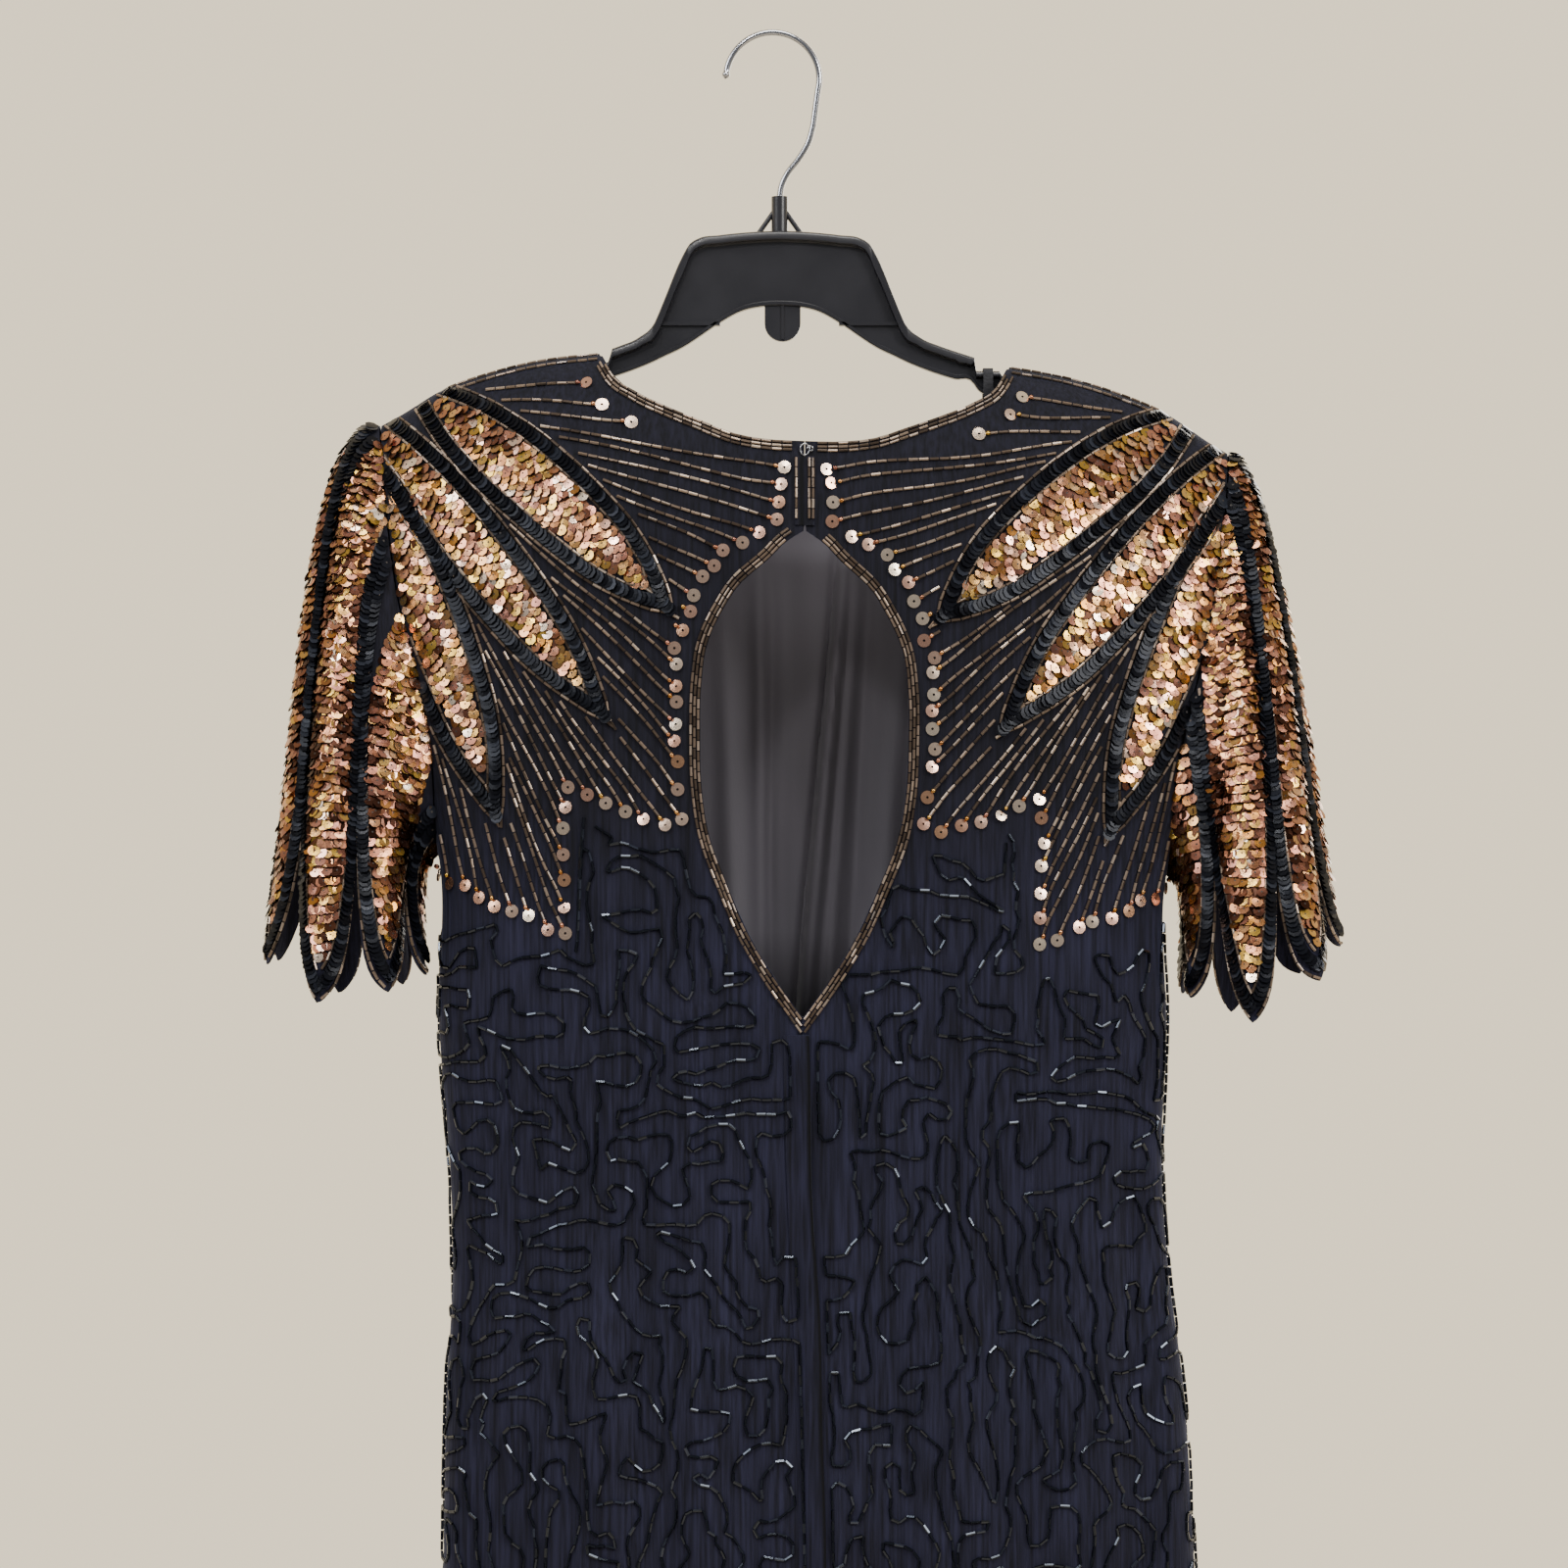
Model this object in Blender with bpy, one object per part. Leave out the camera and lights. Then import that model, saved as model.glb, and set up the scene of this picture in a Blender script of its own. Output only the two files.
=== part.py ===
"""A beaded dress that hangs on a plastic hanger, seen from its back.

Metres, +Z up. The origin is under the top of the hanger's wire hook, where a rail carries it.
+X is to the right as one looks at the back of the dress, and the back faces -Y.
The dress is worked out square to its own centre line, in millimetres: h is the distance from
that line, z the height, y the depth. hang() then gives it the slight slant it hangs at.
"""
import math

import bmesh
import bpy
import numpy as np

MM = 0.001

# Cloth, in millimetres
WALL = 1.5               # thickness of the beaded cloth
SEAM = 0.3               # gap between two pieces at a seam
TRIM_RISE = 0.6          # clearance under what is sewn on top of a panel
TRIM_WALL = 1.2          # thickness of bindings and raised leaves

# How the dress hangs
CENTRE_X = 17.0          # its centre line, to the right of the hook
TILT = 0.033             # the right shoulder hangs lower by this share of its distance
TILT_FULL_Z = -300.0     # the slant is whole above this height
TILT_NONE_Z = -650.0     # and gone below this one
SWAY = ((-560.0, 0.0), (-680.0, 5.0), (-790.0, 7.5), (-1164.0, 9.0))  # z, drift to the right

# Main heights
SHOULDER_TIP_Z = -208.0
UNDERARM_Z = -425.0
HEM_Z = -1164.0
NECK_POINT_H = 104.5
SHOULDER_TIP_H = 217.5
ROUNDING = 120.0         # below the shoulder, the depth over which the body swells out

# h, z of the shoulder seam, and of the crown line that continues it over the neck
SHOULDER = ((0.0, -158.0), (60.0, -161.0), (104.5, -167.0), (137.0, -172.0), (162.0, -179.0),
            (187.0, -189.0), (208.0, -202.5), (217.5, -208.0))
# h, z of the necklines
NECK_BACK = ((0.0, -211.5), (20.0, -211.0), (36.0, -208.5), (52.0, -202.5), (70.0, -195.5),
             (86.0, -188.0), (98.0, -179.0), (104.5, -167.0))
NECK_FRONT = ((0.0, -236.0), (25.0, -233.5), (50.0, -224.0), (70.0, -211.0), (88.0, -194.5),
              (98.0, -182.0), (104.5, -167.0))
# z, h of the armhole edge
ARMHOLE = ((-208.0, 217.5), (-260.0, 212.0), (-300.0, 206.0), (-340.0, 196.0), (-375.0, 189.5),
           (-425.0, 187.5))
# z, half width of the whole section, depth of the back, depth of the front
SECTIONS = ((-150.0, 240.0, 42.0, 38.0), (-208.0, 235.0, 44.0, 40.0), (-300.0, 222.0, 44.0, 43.0),
            (-380.0, 200.0, 43.0, 46.0), (-425.0, 187.5, 42.0, 45.0), (-510.0, 187.0, 40.0, 40.0),
            (-585.0, 183.0, 38.0, 36.0), (-635.0, 184.0, 39.0, 36.0), (-690.0, 189.0, 42.0, 37.0),
            (-785.0, 193.0, 45.0, 39.0), (-900.0, 196.0, 44.0, 39.0), (-1000.0, 199.0, 42.0, 38.0),
            (-1164.0, 203.0, 42.0, 38.0))
SECTION_POWER = 3.0      # squareness of the section

# z, half width of the keyhole
KEYHOLE = ((-257.0, 0.15), (-262.0, 8.0), (-272.0, 18.0), (-285.0, 32.5), (-298.0, 41.0),
           (-314.0, 48.5), (-336.0, 52.0), (-362.0, 52.5), (-388.0, 51.5), (-412.0, 47.5),
           (-436.0, 38.5), (-461.0, 27.5), (-485.0, 13.0), (-503.0, 0.15))

# Share of the half width at which each column of points runs
COLUMNS = (0.0, 0.07, 0.15, 0.23, 0.32, 0.405, 0.455, 0.4805, 0.56, 0.65, 0.74, 0.82, 0.89, 0.945,
           0.98, 1.0)
# Heights of the rows of points, at the centre line
BACK_ROWS = (-211.5, -212.6, -216.5, -224.0, -234.0, -246.0, -257.0, -262.0, -272.0, -285.0,
             -298.0, -314.0, -336.0, -362.0, -388.0, -412.0, -436.0, -461.0, -485.0, -503.0,
             -540.0, -585.0, -640.0, -710.0, -790.0, -870.0, -960.0, -1060.0, -1164.0)
FRONT_ROWS = (-236.0, -236.9, -239.5, -245.0, -254.0, -268.0, -287.0, -312.0, -342.0, -372.0,
              -400.0, -425.0, -465.0, -510.0, -555.0, -605.0, -670.0, -750.0, -840.0, -940.0,
              -1050.0, -1164.0)

# Folds that hang in the skirt: h at the waist, h at the hem, z where it starts, depth, half width
BACK_FOLDS = ((172.0, 150.0, -455.0, 7.0, 9.0), (138.0, 128.0, -560.0, -2.6, 17.0),
              (104.0, 96.0, -520.0, 3.0, 14.0), (66.0, 60.0, -560.0, -2.4, 13.0),
              (38.0, 40.0, -600.0, 2.2, 11.0), (-34.0, -30.0, -560.0, 2.4, 12.0),
              (-80.0, -86.0, -530.0, 3.0, 14.0), (-108.0, -116.0, -580.0, -2.4, 13.0),
              (-140.0, -146.0, -520.0, 2.8, 13.0), (-172.0, -178.0, -560.0, 5.0, 8.0))
FRONT_FOLDS = ((160.0, 152.0, -540.0, 4.5, 11.0), (110.0, 118.0, -560.0, 3.0, 15.0),
               (64.0, 58.0, -600.0, -2.6, 15.0), (12.0, 4.0, -580.0, 3.0, 14.0),
               (-44.0, -40.0, -560.0, -2.4, 14.0), (-92.0, -98.0, -540.0, 3.2, 15.0),
               (-150.0, -156.0, -560.0, 4.0, 12.0))
FOLD_GROWTH = 110.0      # a fold is full this far below its start

# Sleeves
PETALS = 7
PETAL_COLUMNS = 6
SLEEVE_ROWS = 8
SLEEVE_CENTRE_H = 235.0
SLEEVE_HALF_WIDTH = 42.0
SLEEVE_HALF_DEPTH = 54.0
SLEEVE_SEAM = 0.8        # gap to the armhole, where the cloth turns a corner
SLEEVE_FALL = 0.33       # how long the lower part falls straight, as a share of its length
SLIT_LENGTH = 66.0
VALLEY_DEPTH = 5.5       # the furrow between two petals
# angle from the outermost line of the sleeve, z of the petal tips there
PETAL_TIPS = ((0.0, -463.0), (26.0, -481.0), (51.0, -480.0), (77.0, -498.0), (103.0, -502.0),
              (128.0, -493.0), (154.0, -491.0), (180.0, -486.0))
# side, turn of the petals in degrees, how far the head stands out before it falls as a share of
# the sleeve's length, and how steeply it leaves the shoulder
SLEEVES = {"sleeve_left": (-1.0, 180.0 / PETALS, 0.16, 0.03),
           "sleeve_right": (1.0, 0.0, 0.10, 0.30)}

# Raised leaves: base h, base z, tip h, tip z, half width at the base, half width, bow
LEAVES = ((184.0, -201.0, 61.0, -298.0, 9.0, 20.0, 5.0),
          (204.0, -221.0, 96.0, -353.0, 8.0, 20.0, 5.0),
          (203.0, -262.0, 151.0, -409.0, 4.0, 18.0, 5.0))
LEAF_TIP_HALF = 1.2
LEAF_ARMHOLE_GAP = 2.0
LEAF_ROWS = 10
LEAF_COLUMNS = 3

# Trims
BINDING_WIDTH = 5.0
BINDING_INSET = 0.5
PLACKET_HALF = 5.0
PLACKET_TOP_Z = -219.5
PLACKET_FOOT_Z = -254.5
EYE_ABOVE_PLACKET = 3.6
EYE_WIRE_RADIUS = 0.45
EYE_HALF_WIDTH = 2.3
EYE_HALF_HEIGHT = 2.9
EYE_RISE = 1.1
EYE_POINTS = 12
ZIP_TOP_Z = -512.0
ZIP_FOOT_Z = -868.0
ZIP_LAP_LEFT = -10.0
ZIP_LAP_RIGHT = 3.0
ZIP_TAPE_HALF = 13.0
ZIP_TAPE_WALL = 1.0
LINING_WALL = 1.0
LINING_GAP = 4.5         # how far the lining hangs clear of the front
LINING_TOP_HALF = 205.0
LINING_TOP_DROP = 3.0    # below the neck edge
LINING_SHOULDER_DROP = 14.0   # more than that under the shoulders, to clear the hanger
LINING_SIDE = 9.0        # in from the side seam
LINING_PLEAT = 1.6
LINING_FOOT_Z = -1120.0
LINING_ROWS = (0.0, 0.02, 0.06, 0.12, 0.19, 0.27, 0.36, 0.48, 0.64, 0.82, 1.0)
LINING_COLUMNS = 17

# Hanger, with its own centre line
HANGER_X = 4.25
HANGER_HALF_SPAN = 188.0
FLANGE_HALF = 5.5
FLANGE_THICK = 4.5
NOTCH_FLANGE_THICK = 3.0
STEEPEST_FLANGE = 2.2    # most that a steep stretch thickens the flange upright
SLOPE_STEP = 1.5
FOOT_FLANGE_HALF = 3.2
FOOT_FLANGE_THICK = 2.4
WEB_HALF = 1.5
EDGE_CHAMFER = 1.6
TOP_FLAT_HALF = 3.5
ARM_SEAT = 2.8           # from the outer face of the shoulder seam down to the arm's top
NECK_RELIEF = 3.5        # how much further the arm dips under the corner of the neck
# distance from the centre line, z of the top edge, z of the lower edge
HANGER_ROWS = ((0.0, -101.0, -139.0), (10.0, -101.3, -139.6), (20.0, -102.0, -142.0),
               (31.0, -103.2, -148.0), (42.0, -105.0, -155.5), (46.5, -108.0, -158.5),
               (50.0, -114.0, -160.6), (60.0, -138.0, -165.4), (64.5, -148.5, -167.6),
               (72.0, -155.5, -170.8), (82.0, -160.0, -174.4), (90.0, -162.8, -176.8),
               (100.0, -166.0, -179.4), (101.0, -173.0, -181.0), (113.0, -173.0, -184.5),
               (114.0, -168.0, -184.7), (118.0, -168.5, -185.0), (124.0, -169.0, -186.3),
               (142.0, -170.0, -191.0), (160.0, -173.0, -197.0), (176.0, -177.0, -204.0),
               (188.0, -186.0, -210.0))
NOTCH = (101.0, 113.0)
ARM_HEIGHT_NECK = 14.5
ARM_HEIGHT_TIP = 9.0
POST_RADIUS = 4.2
POST_TOP_Z = -83.0
POST_FOOT_Z = -104.0
STRUT_RADIUS = 1.3
# distance from the hanger's centre line, z of a strut's two ends
STRUT = ((3.2, -91.0), (12.0, -103.5))
TAB_HALF_WIDTH = 9.2
TAB_HALF_DEPTH = 1.9
TAB_TOP_Z = -137.5
TAB_FOOT_Z = -157.5
RIB_HALF_HEIGHT = 0.9
RIB_Z = -148.5
RIB_START = 30.5
RIB_END = 64.0
TAB_SHIFT = 1.5

# Wire hook
WIRE_RADIUS = 1.6
HOOK_RADIUS = 24.0
HOOK_CENTRE_X = 0.6
HOOK_START_DEG = 172.0
HOOK_END_DEG = -14.0
SOCKET_CLEAR = 0.3
SOCKET_DEPTH = 9.0
# x, z of the stem below the round of the hook
HOOK_STEM = ((21.4, -46.5), (19.0, -55.0), (14.0, -63.5), (8.2, -71.0), (5.2, -77.5), (4.25, -84.0),
             (4.25, -91.5))

# Ribbon loops that hang the dress on the notches
LOOP_WIDTH = 5.0
LOOP_WALL = 1.0
LOOP_CLEAR = 0.5
LOOP_SAG = 1.6

# name: colour, roughness, metallic
FINISHES = {
    "crepe": ((0.021, 0.023, 0.036), 0.85, 0.0),
    "satin": ((0.03, 0.027, 0.03), 0.5, 0.0),
    "gold_sequins": ((0.62, 0.36, 0.16), 0.3, 0.8),
    "bronze_beads": ((0.2, 0.13, 0.08), 0.35, 0.7),
    "ribbon": ((0.012, 0.012, 0.014), 0.7, 0.0),
    "black_plastic": ((0.016, 0.016, 0.02), 0.38, 0.0),
    "steel": ((0.72, 0.72, 0.74), 0.2, 1.0),
}


def clear_scene():
    for item in list(bpy.data.objects):
        bpy.data.objects.remove(item, do_unlink=True)


def finish(name):
    found = bpy.data.materials.get(name)
    if found:
        return found
    colour, roughness, metallic = FINISHES[name]
    made = bpy.data.materials.new(name)
    made.use_nodes = True
    shader = made.node_tree.nodes["Principled BSDF"]
    shader.inputs["Base Color"].default_value = (*colour, 1.0)
    shader.inputs["Roughness"].default_value = roughness
    shader.inputs["Metallic"].default_value = metallic
    made.diffuse_color = (*colour, 1.0)
    return made


def smooth_step(x):
    x = np.clip(x, 0.0, 1.0)
    return x * x * (3.0 - 2.0 * x)


def along(rows, x, column=1):
    """The value in a column of a table at x, on straight runs between its rows."""
    ordered = sorted(rows)
    return np.interp(x, [row[0] for row in ordered], [row[column] for row in ordered])


# The body of the dress, as two curved faces

def half_width(z):
    return along(SECTIONS, z)


def armhole_h(z):
    """The outer edge of a panel: shoulder tip, armhole, then the side seam."""
    edge = along(ARMHOLE, np.maximum(z, UNDERARM_Z))
    return np.where(z < UNDERARM_Z, half_width(z), edge)


def fold_depth(h, z, folds):
    total = np.zeros(np.broadcast(h, z).shape)
    for waist_h, hem_h, start_z, depth, half in folds:
        down = (start_z - z) / (start_z - HEM_Z)
        centre = waist_h + (hem_h - waist_h) * np.clip(down, 0.0, 1.0)
        width = half * (1.0 + 0.5 * np.clip(down, 0.0, 1.0))
        strength = depth * smooth_step((start_z - z) / FOLD_GROWTH)
        total = total + strength * np.exp(-((h - centre) / width) ** 2)
    return total


def face_depth(h, z, front):
    """How far the face stands out from the plane of the hanger."""
    depth = along(SECTIONS, z, 3 if front else 2)
    below = np.clip((along(SHOULDER, np.abs(h)) - z) / ROUNDING, 0.0, 1.0)
    swell = np.sqrt(np.maximum(1.0 - (1.0 - below) ** 2, 0.0))
    across = np.minimum(np.abs(h) / half_width(z), 1.0)
    section = np.maximum(1.0 - across ** SECTION_POWER, 0.0) ** (1.0 / SECTION_POWER)
    folds = fold_depth(h, z, FRONT_FOLDS if front else BACK_FOLDS)
    return np.maximum(depth * swell * section - folds * (1.0 - across ** 8), 0.0) + SEAM / 2


def hang(h, y, z):
    """Points in metres, with the slant and drift of the hanging dress."""
    slant = TILT * h * smooth_step((z - TILT_NONE_Z) / (TILT_FULL_Z - TILT_NONE_Z))
    x = CENTRE_X + h + along(SWAY, z)
    return np.stack(np.broadcast_arrays(x, y, z - slant), axis=-1) * MM


def face_points(h, z, front):
    depth = face_depth(h, z, front)
    return hang(h, depth if front else -depth, z)


def grid_normals(points, wrap=False):
    """Unit normals of a grid, to the front of one whose columns run +X and rows run down."""
    if wrap:
        across = np.roll(points, -1, axis=1) - np.roll(points, 1, axis=1)
    else:
        across = np.gradient(points, axis=1)
    down = np.gradient(points, axis=0)
    normal = np.cross(across, down)
    return normal / np.linalg.norm(normal, axis=2, keepdims=True)


def face_normals(h, z, front, step=0.5):
    """Outward unit normals of the curved face, from its slopes."""
    across = face_points(h + step, z, front) - face_points(h - step, z, front)
    down = face_points(h, z - step, front) - face_points(h, z + step, front)
    normal = np.cross(across, down)
    normal = normal / np.linalg.norm(normal, axis=-1, keepdims=True)
    return normal if front else -normal


# Solids

def solid_from_faces(name, verts, faces, material, smooth=True):
    mesh = bpy.data.meshes.new(name)
    mesh.from_pydata([tuple(point) for point in verts], [], faces)
    work = bmesh.new()
    work.from_mesh(mesh)
    bmesh.ops.recalc_face_normals(work, faces=work.faces)
    work.to_mesh(mesh)
    work.free()
    if smooth:
        mesh.shade_smooth()
        mesh.set_sharp_from_angle(angle=math.radians(40))
    mesh.materials.append(finish(material))
    made = bpy.data.objects.new(name, mesh)
    bpy.context.scene.collection.objects.link(made)
    return made


def wall_between(name, outer, inner, material, wrap=False):
    """A closed wall between two grids of points that have the same rows and columns."""
    rows, columns = outer.shape[:2]
    verts = np.concatenate([outer.reshape(-1, 3), inner.reshape(-1, 3)])
    back = rows * columns
    faces = []
    span = columns if wrap else columns - 1
    for row in range(rows - 1):
        for column in range(span):
            near = row * columns + column
            far = row * columns + (column + 1) % columns
            faces.append((near, far, far + columns, near + columns))
            faces.append((back + near + columns, back + far + columns, back + far, back + near))
    for row in (0, rows - 1):
        for column in range(span):
            near = row * columns + column
            far = row * columns + (column + 1) % columns
            faces.append((near, far, back + far, back + near))
    if not wrap:
        for column in (0, columns - 1):
            for row in range(rows - 1):
                near = row * columns + column
                faces.append((near, near + columns, back + near + columns, back + near))
    return solid_from_faces(name, verts, faces, material)


def strip_on_face(name, h, z, front, material):
    """A thin piece sewn on a panel: the panel's own points, moved out."""
    base = face_points(h, z, front)
    normal = face_normals(h, z, front)
    under = base + normal * TRIM_RISE * MM
    over = base + normal * (TRIM_RISE + TRIM_WALL) * MM
    return wall_between(name, over, under, material)


# Panels

def panel_top(h, front):
    neck = along(NECK_FRONT if front else NECK_BACK, np.abs(h))
    return np.where(np.abs(h) > NECK_POINT_H, along(SHOULDER, np.abs(h)), neck)


def panel_grid(rows, shares, front, inner_edge):
    """h and z of a panel's points; inner_edge(z) is the half width of what is cut out beside
    the centre line."""
    top_at_centre = rows[0]
    row_z = np.array(rows)[:, None]
    share = np.array(shares)[None, :]
    settle = np.clip((row_z - UNDERARM_Z) / (top_at_centre - UNDERARM_Z), 0.0, 1.0)
    top = panel_top(SHOULDER_TIP_H * share, front)
    z = row_z + (top - top_at_centre) * settle
    side = np.sign(share.sum())
    if front:
        h = armhole_h(z) * share
    else:
        inner = inner_edge(z)
        h = side * (inner + (armhole_h(z) - inner) * np.abs(share))
    return h, z


def keyhole_edge(z):
    inside = (z < KEYHOLE[0][0]) & (z > KEYHOLE[-1][0])
    return np.where(inside, along(KEYHOLE, z), SEAM / 2)


def no_edge(z):
    return np.zeros_like(z)


def make_panel(name, rows, shares, front, inner_edge):
    h, z = panel_grid(rows, shares, front, inner_edge)
    outer = face_points(h, z, front)
    normal = grid_normals(outer) * (1.0 if front else -1.0)
    inner = outer - normal * WALL * MM
    limit = SEAM / 2 * MM
    if front:
        inner[..., 1] = np.maximum(inner[..., 1], limit)
    else:
        inner[..., 1] = np.minimum(inner[..., 1], -limit)
        centre_column = 0 if shares[0] == 0.0 else -1
        inner[:, centre_column, 0] = outer[:, centre_column, 0]
    return wall_between(name, outer, inner, "crepe")


def make_body():
    left = tuple(-share for share in reversed(COLUMNS))
    make_panel("back_left", BACK_ROWS, left, False, keyhole_edge)
    make_panel("back_right", BACK_ROWS, COLUMNS, False, keyhole_edge)
    make_panel("front", FRONT_ROWS, left + COLUMNS[1:], True, no_edge)


def make_lining():
    """The satin front lining, caught at the front neck and loose below."""
    rows = np.array(LINING_ROWS)[:, None]
    share = np.linspace(-1.0, 1.0, LINING_COLUMNS)[None, :]
    top_h = LINING_TOP_HALF * share
    shoulder_drop = LINING_SHOULDER_DROP * smooth_step((np.abs(top_h) - 82.0) / 30.0)
    top = panel_top(top_h, True) - LINING_TOP_DROP - shoulder_drop
    z = top + (LINING_FOOT_Z - top) * rows
    h = (armhole_h(z) - LINING_SIDE) * share
    loose = LINING_GAP * smooth_step((top - z) / 45.0)
    pleats = LINING_PLEAT * np.abs(np.sin(h * 0.105 + 0.6)) * smooth_step((top - z) / 120.0)
    depth = face_depth(h, z, True) - WALL - 3 * SEAM - loose - pleats
    outer = hang(h, depth, z)
    inner = outer - grid_normals(outer) * LINING_WALL * MM
    wall_between("front_lining", outer, inner, "satin")


# Sleeves

def sleeve_head(angle):
    """The armhole edge at an angle from the shoulder tip, back side positive."""
    half = (SHOULDER_TIP_Z - UNDERARM_Z) / 2.0
    z = (SHOULDER_TIP_Z + UNDERARM_Z) / 2.0 + half * np.cos(angle)
    h = armhole_h(z)
    back = np.sin(angle) >= 0.0
    depth = np.where(back, -face_depth(h, z, False), face_depth(h, z, True))
    return np.stack([h, depth, z], axis=-1)


def sleeve_foot(angle):
    tip_z = along(PETAL_TIPS, np.degrees(np.abs(np.arctan2(np.sin(angle), np.cos(angle)))))
    h = SLEEVE_CENTRE_H + SLEEVE_HALF_WIDTH * np.cos(angle)
    y = -SLEEVE_HALF_DEPTH * np.sin(angle)
    return np.stack([h, y, tip_z], axis=-1)


def sleeve_point(angle, down, puff, steep):
    """A point of the sleeve: four-point curves that leave the armhole outwards and fall."""
    head = sleeve_head(angle)
    foot = sleeve_foot(angle)
    length = np.linalg.norm(foot - head, axis=-1, keepdims=True)
    spread = np.sin(angle)
    out = np.stack([np.ones_like(angle), -0.55 * spread, -steep - 0.25 * np.sin(angle / 2) ** 2], -1)
    out = out / np.linalg.norm(out, axis=-1, keepdims=True)
    rise = np.stack([-0.18 * np.cos(angle), 0.10 * spread, np.ones_like(angle)], -1)
    head = head + out * SLEEVE_SEAM
    second = head + out * length * puff
    third = foot + rise * length * SLEEVE_FALL
    t = down[..., None]
    point = head * (1 - t) ** 3 + second * 3 * t * (1 - t) ** 2 + third * 3 * t * t * (1 - t)
    return point + foot * t ** 3, length[..., 0]


def petal_edge(phase):
    """Share of the slit's length that the edge lies above the tip, across half a petal."""
    return 0.45 * phase ** 1.3 + 0.55 * phase ** 5


def make_sleeve(name, side, turn, puff, steep):
    count = PETALS * PETAL_COLUMNS
    step = np.arange(count)
    angle = np.radians(turn) + step * 2.0 * np.pi / count
    phase = np.abs((step % PETAL_COLUMNS) * 2.0 / PETAL_COLUMNS)
    phase = np.minimum(phase, 2.0 - phase)
    angles = np.broadcast_to(angle, (SLEEVE_ROWS + 1, count))
    length = sleeve_point(angle, np.zeros(count), puff, steep)[1]
    slit = np.minimum(SLIT_LENGTH, 0.55 * length)
    foot_share = 1.0 - petal_edge(phase) * slit / length
    rows = np.linspace(0.0, 1.0, SLEEVE_ROWS + 1)[:, None] ** 1.1
    down = rows * foot_share
    point = sleeve_point(angles, down, puff, steep)[0]
    furrow = VALLEY_DEPTH * phase ** 2 * smooth_step(down / 0.45)
    inward = np.stack([-np.cos(angle), np.sin(angle)], -1)
    point[..., :2] += furrow[..., None] * inward
    outer = hang(side * point[..., 0], point[..., 1], point[..., 2])
    normal = grid_normals(outer, wrap=True)
    centre = outer.mean(axis=1, keepdims=True)
    if np.sum(normal * (outer - centre)) < 0.0:
        normal = -normal
    wall_between(name, outer, outer - normal * WALL * MM, "gold_sequins", wrap=True)


# Raised leaves and trims

def make_leaves():
    for face in ("back", "front"):
        for side_name, side in (("left", -1.0), ("right", 1.0)):
            for number, leaf in enumerate(LEAVES, start=1):
                make_leaf(f"leaf_{face}_{side_name}_{number}", leaf, side, face == "front")


def make_leaf(name, leaf, side, front):
    base_h, base_z, tip_h, tip_z, base_half, full_half, bow = leaf
    s = np.linspace(0.0, 1.0, LEAF_ROWS)[:, None]
    t = np.linspace(-1.0, 1.0, LEAF_COLUMNS + 1)[None, :]
    length = math.hypot(tip_h - base_h, tip_z - base_z)
    run = ((tip_h - base_h) / length, (tip_z - base_z) / length)
    half = base_half * (1.0 - s) ** 2 + full_half * 2.3 * s * (1.0 - s) ** 0.8 * (1.0 - 0.25 * s)
    half = np.minimum(half, full_half) * (1.0 - s ** 6) + LEAF_TIP_HALF * s ** 6
    sag = bow * np.sin(np.pi * s)
    h = base_h + run[0] * length * s - run[1] * (half * t + sag)
    z = base_z + run[1] * length * s + run[0] * (half * t + sag)
    h = np.minimum(h, armhole_h(z) - LEAF_ARMHOLE_GAP)
    if side < 0:
        h = -h
    strip_on_face(name, h, z, front, "gold_sequins")


def offset_curve(h, z, distance, towards):
    """The curve moved sideways by a distance, to the side that `towards` points at."""
    run_h = np.gradient(h)
    run_z = np.gradient(z)
    size = np.hypot(run_h, run_z)
    across_h = -run_z / size
    across_z = run_h / size
    if np.mean(across_h * towards[0] + across_z * towards[1]) < 0.0:
        across_h = -across_h
        across_z = -across_z
    return h + across_h * distance, z + across_z * distance


def make_binding(name, h, z, front, towards):
    inner = offset_curve(h, z, BINDING_INSET, towards)
    outer = offset_curve(h, z, BINDING_INSET + BINDING_WIDTH, towards)
    grid_h = np.stack([inner[0], outer[0]], axis=1)
    grid_z = np.stack([inner[1], outer[1]], axis=1)
    strip_on_face(name, grid_h, grid_z, front, "bronze_beads")


def make_bindings():
    neck_h = np.concatenate([np.linspace(7.0, 86.0, 9), [94.0, 99.0]])
    neck_z = along(NECK_BACK, neck_h)
    keyhole_z = np.array((-261.0, -263.5, -268.0, -275.0, -284.0, -295.0, -309.0, -326.0, -345.0,
                          -365.0, -386.0, -406.0, -426.0, -446.0, -464.0, -480.0, -493.0, -500.5))
    keyhole_h = keyhole_edge(keyhole_z)
    for name, side in (("left", -1.0), ("right", 1.0)):
        make_binding(f"neck_binding_{name}", side * neck_h, neck_z, False, (side * 0.5, -1.0))
        make_binding(f"keyhole_binding_{name}", side * keyhole_h, keyhole_z, False, (side, 0.0))
    front_h = np.linspace(-98.0, 98.0, 25)
    make_binding("neck_binding_front", front_h, along(NECK_FRONT, np.abs(front_h)), True,
                 (0.0, -1.0))


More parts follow.
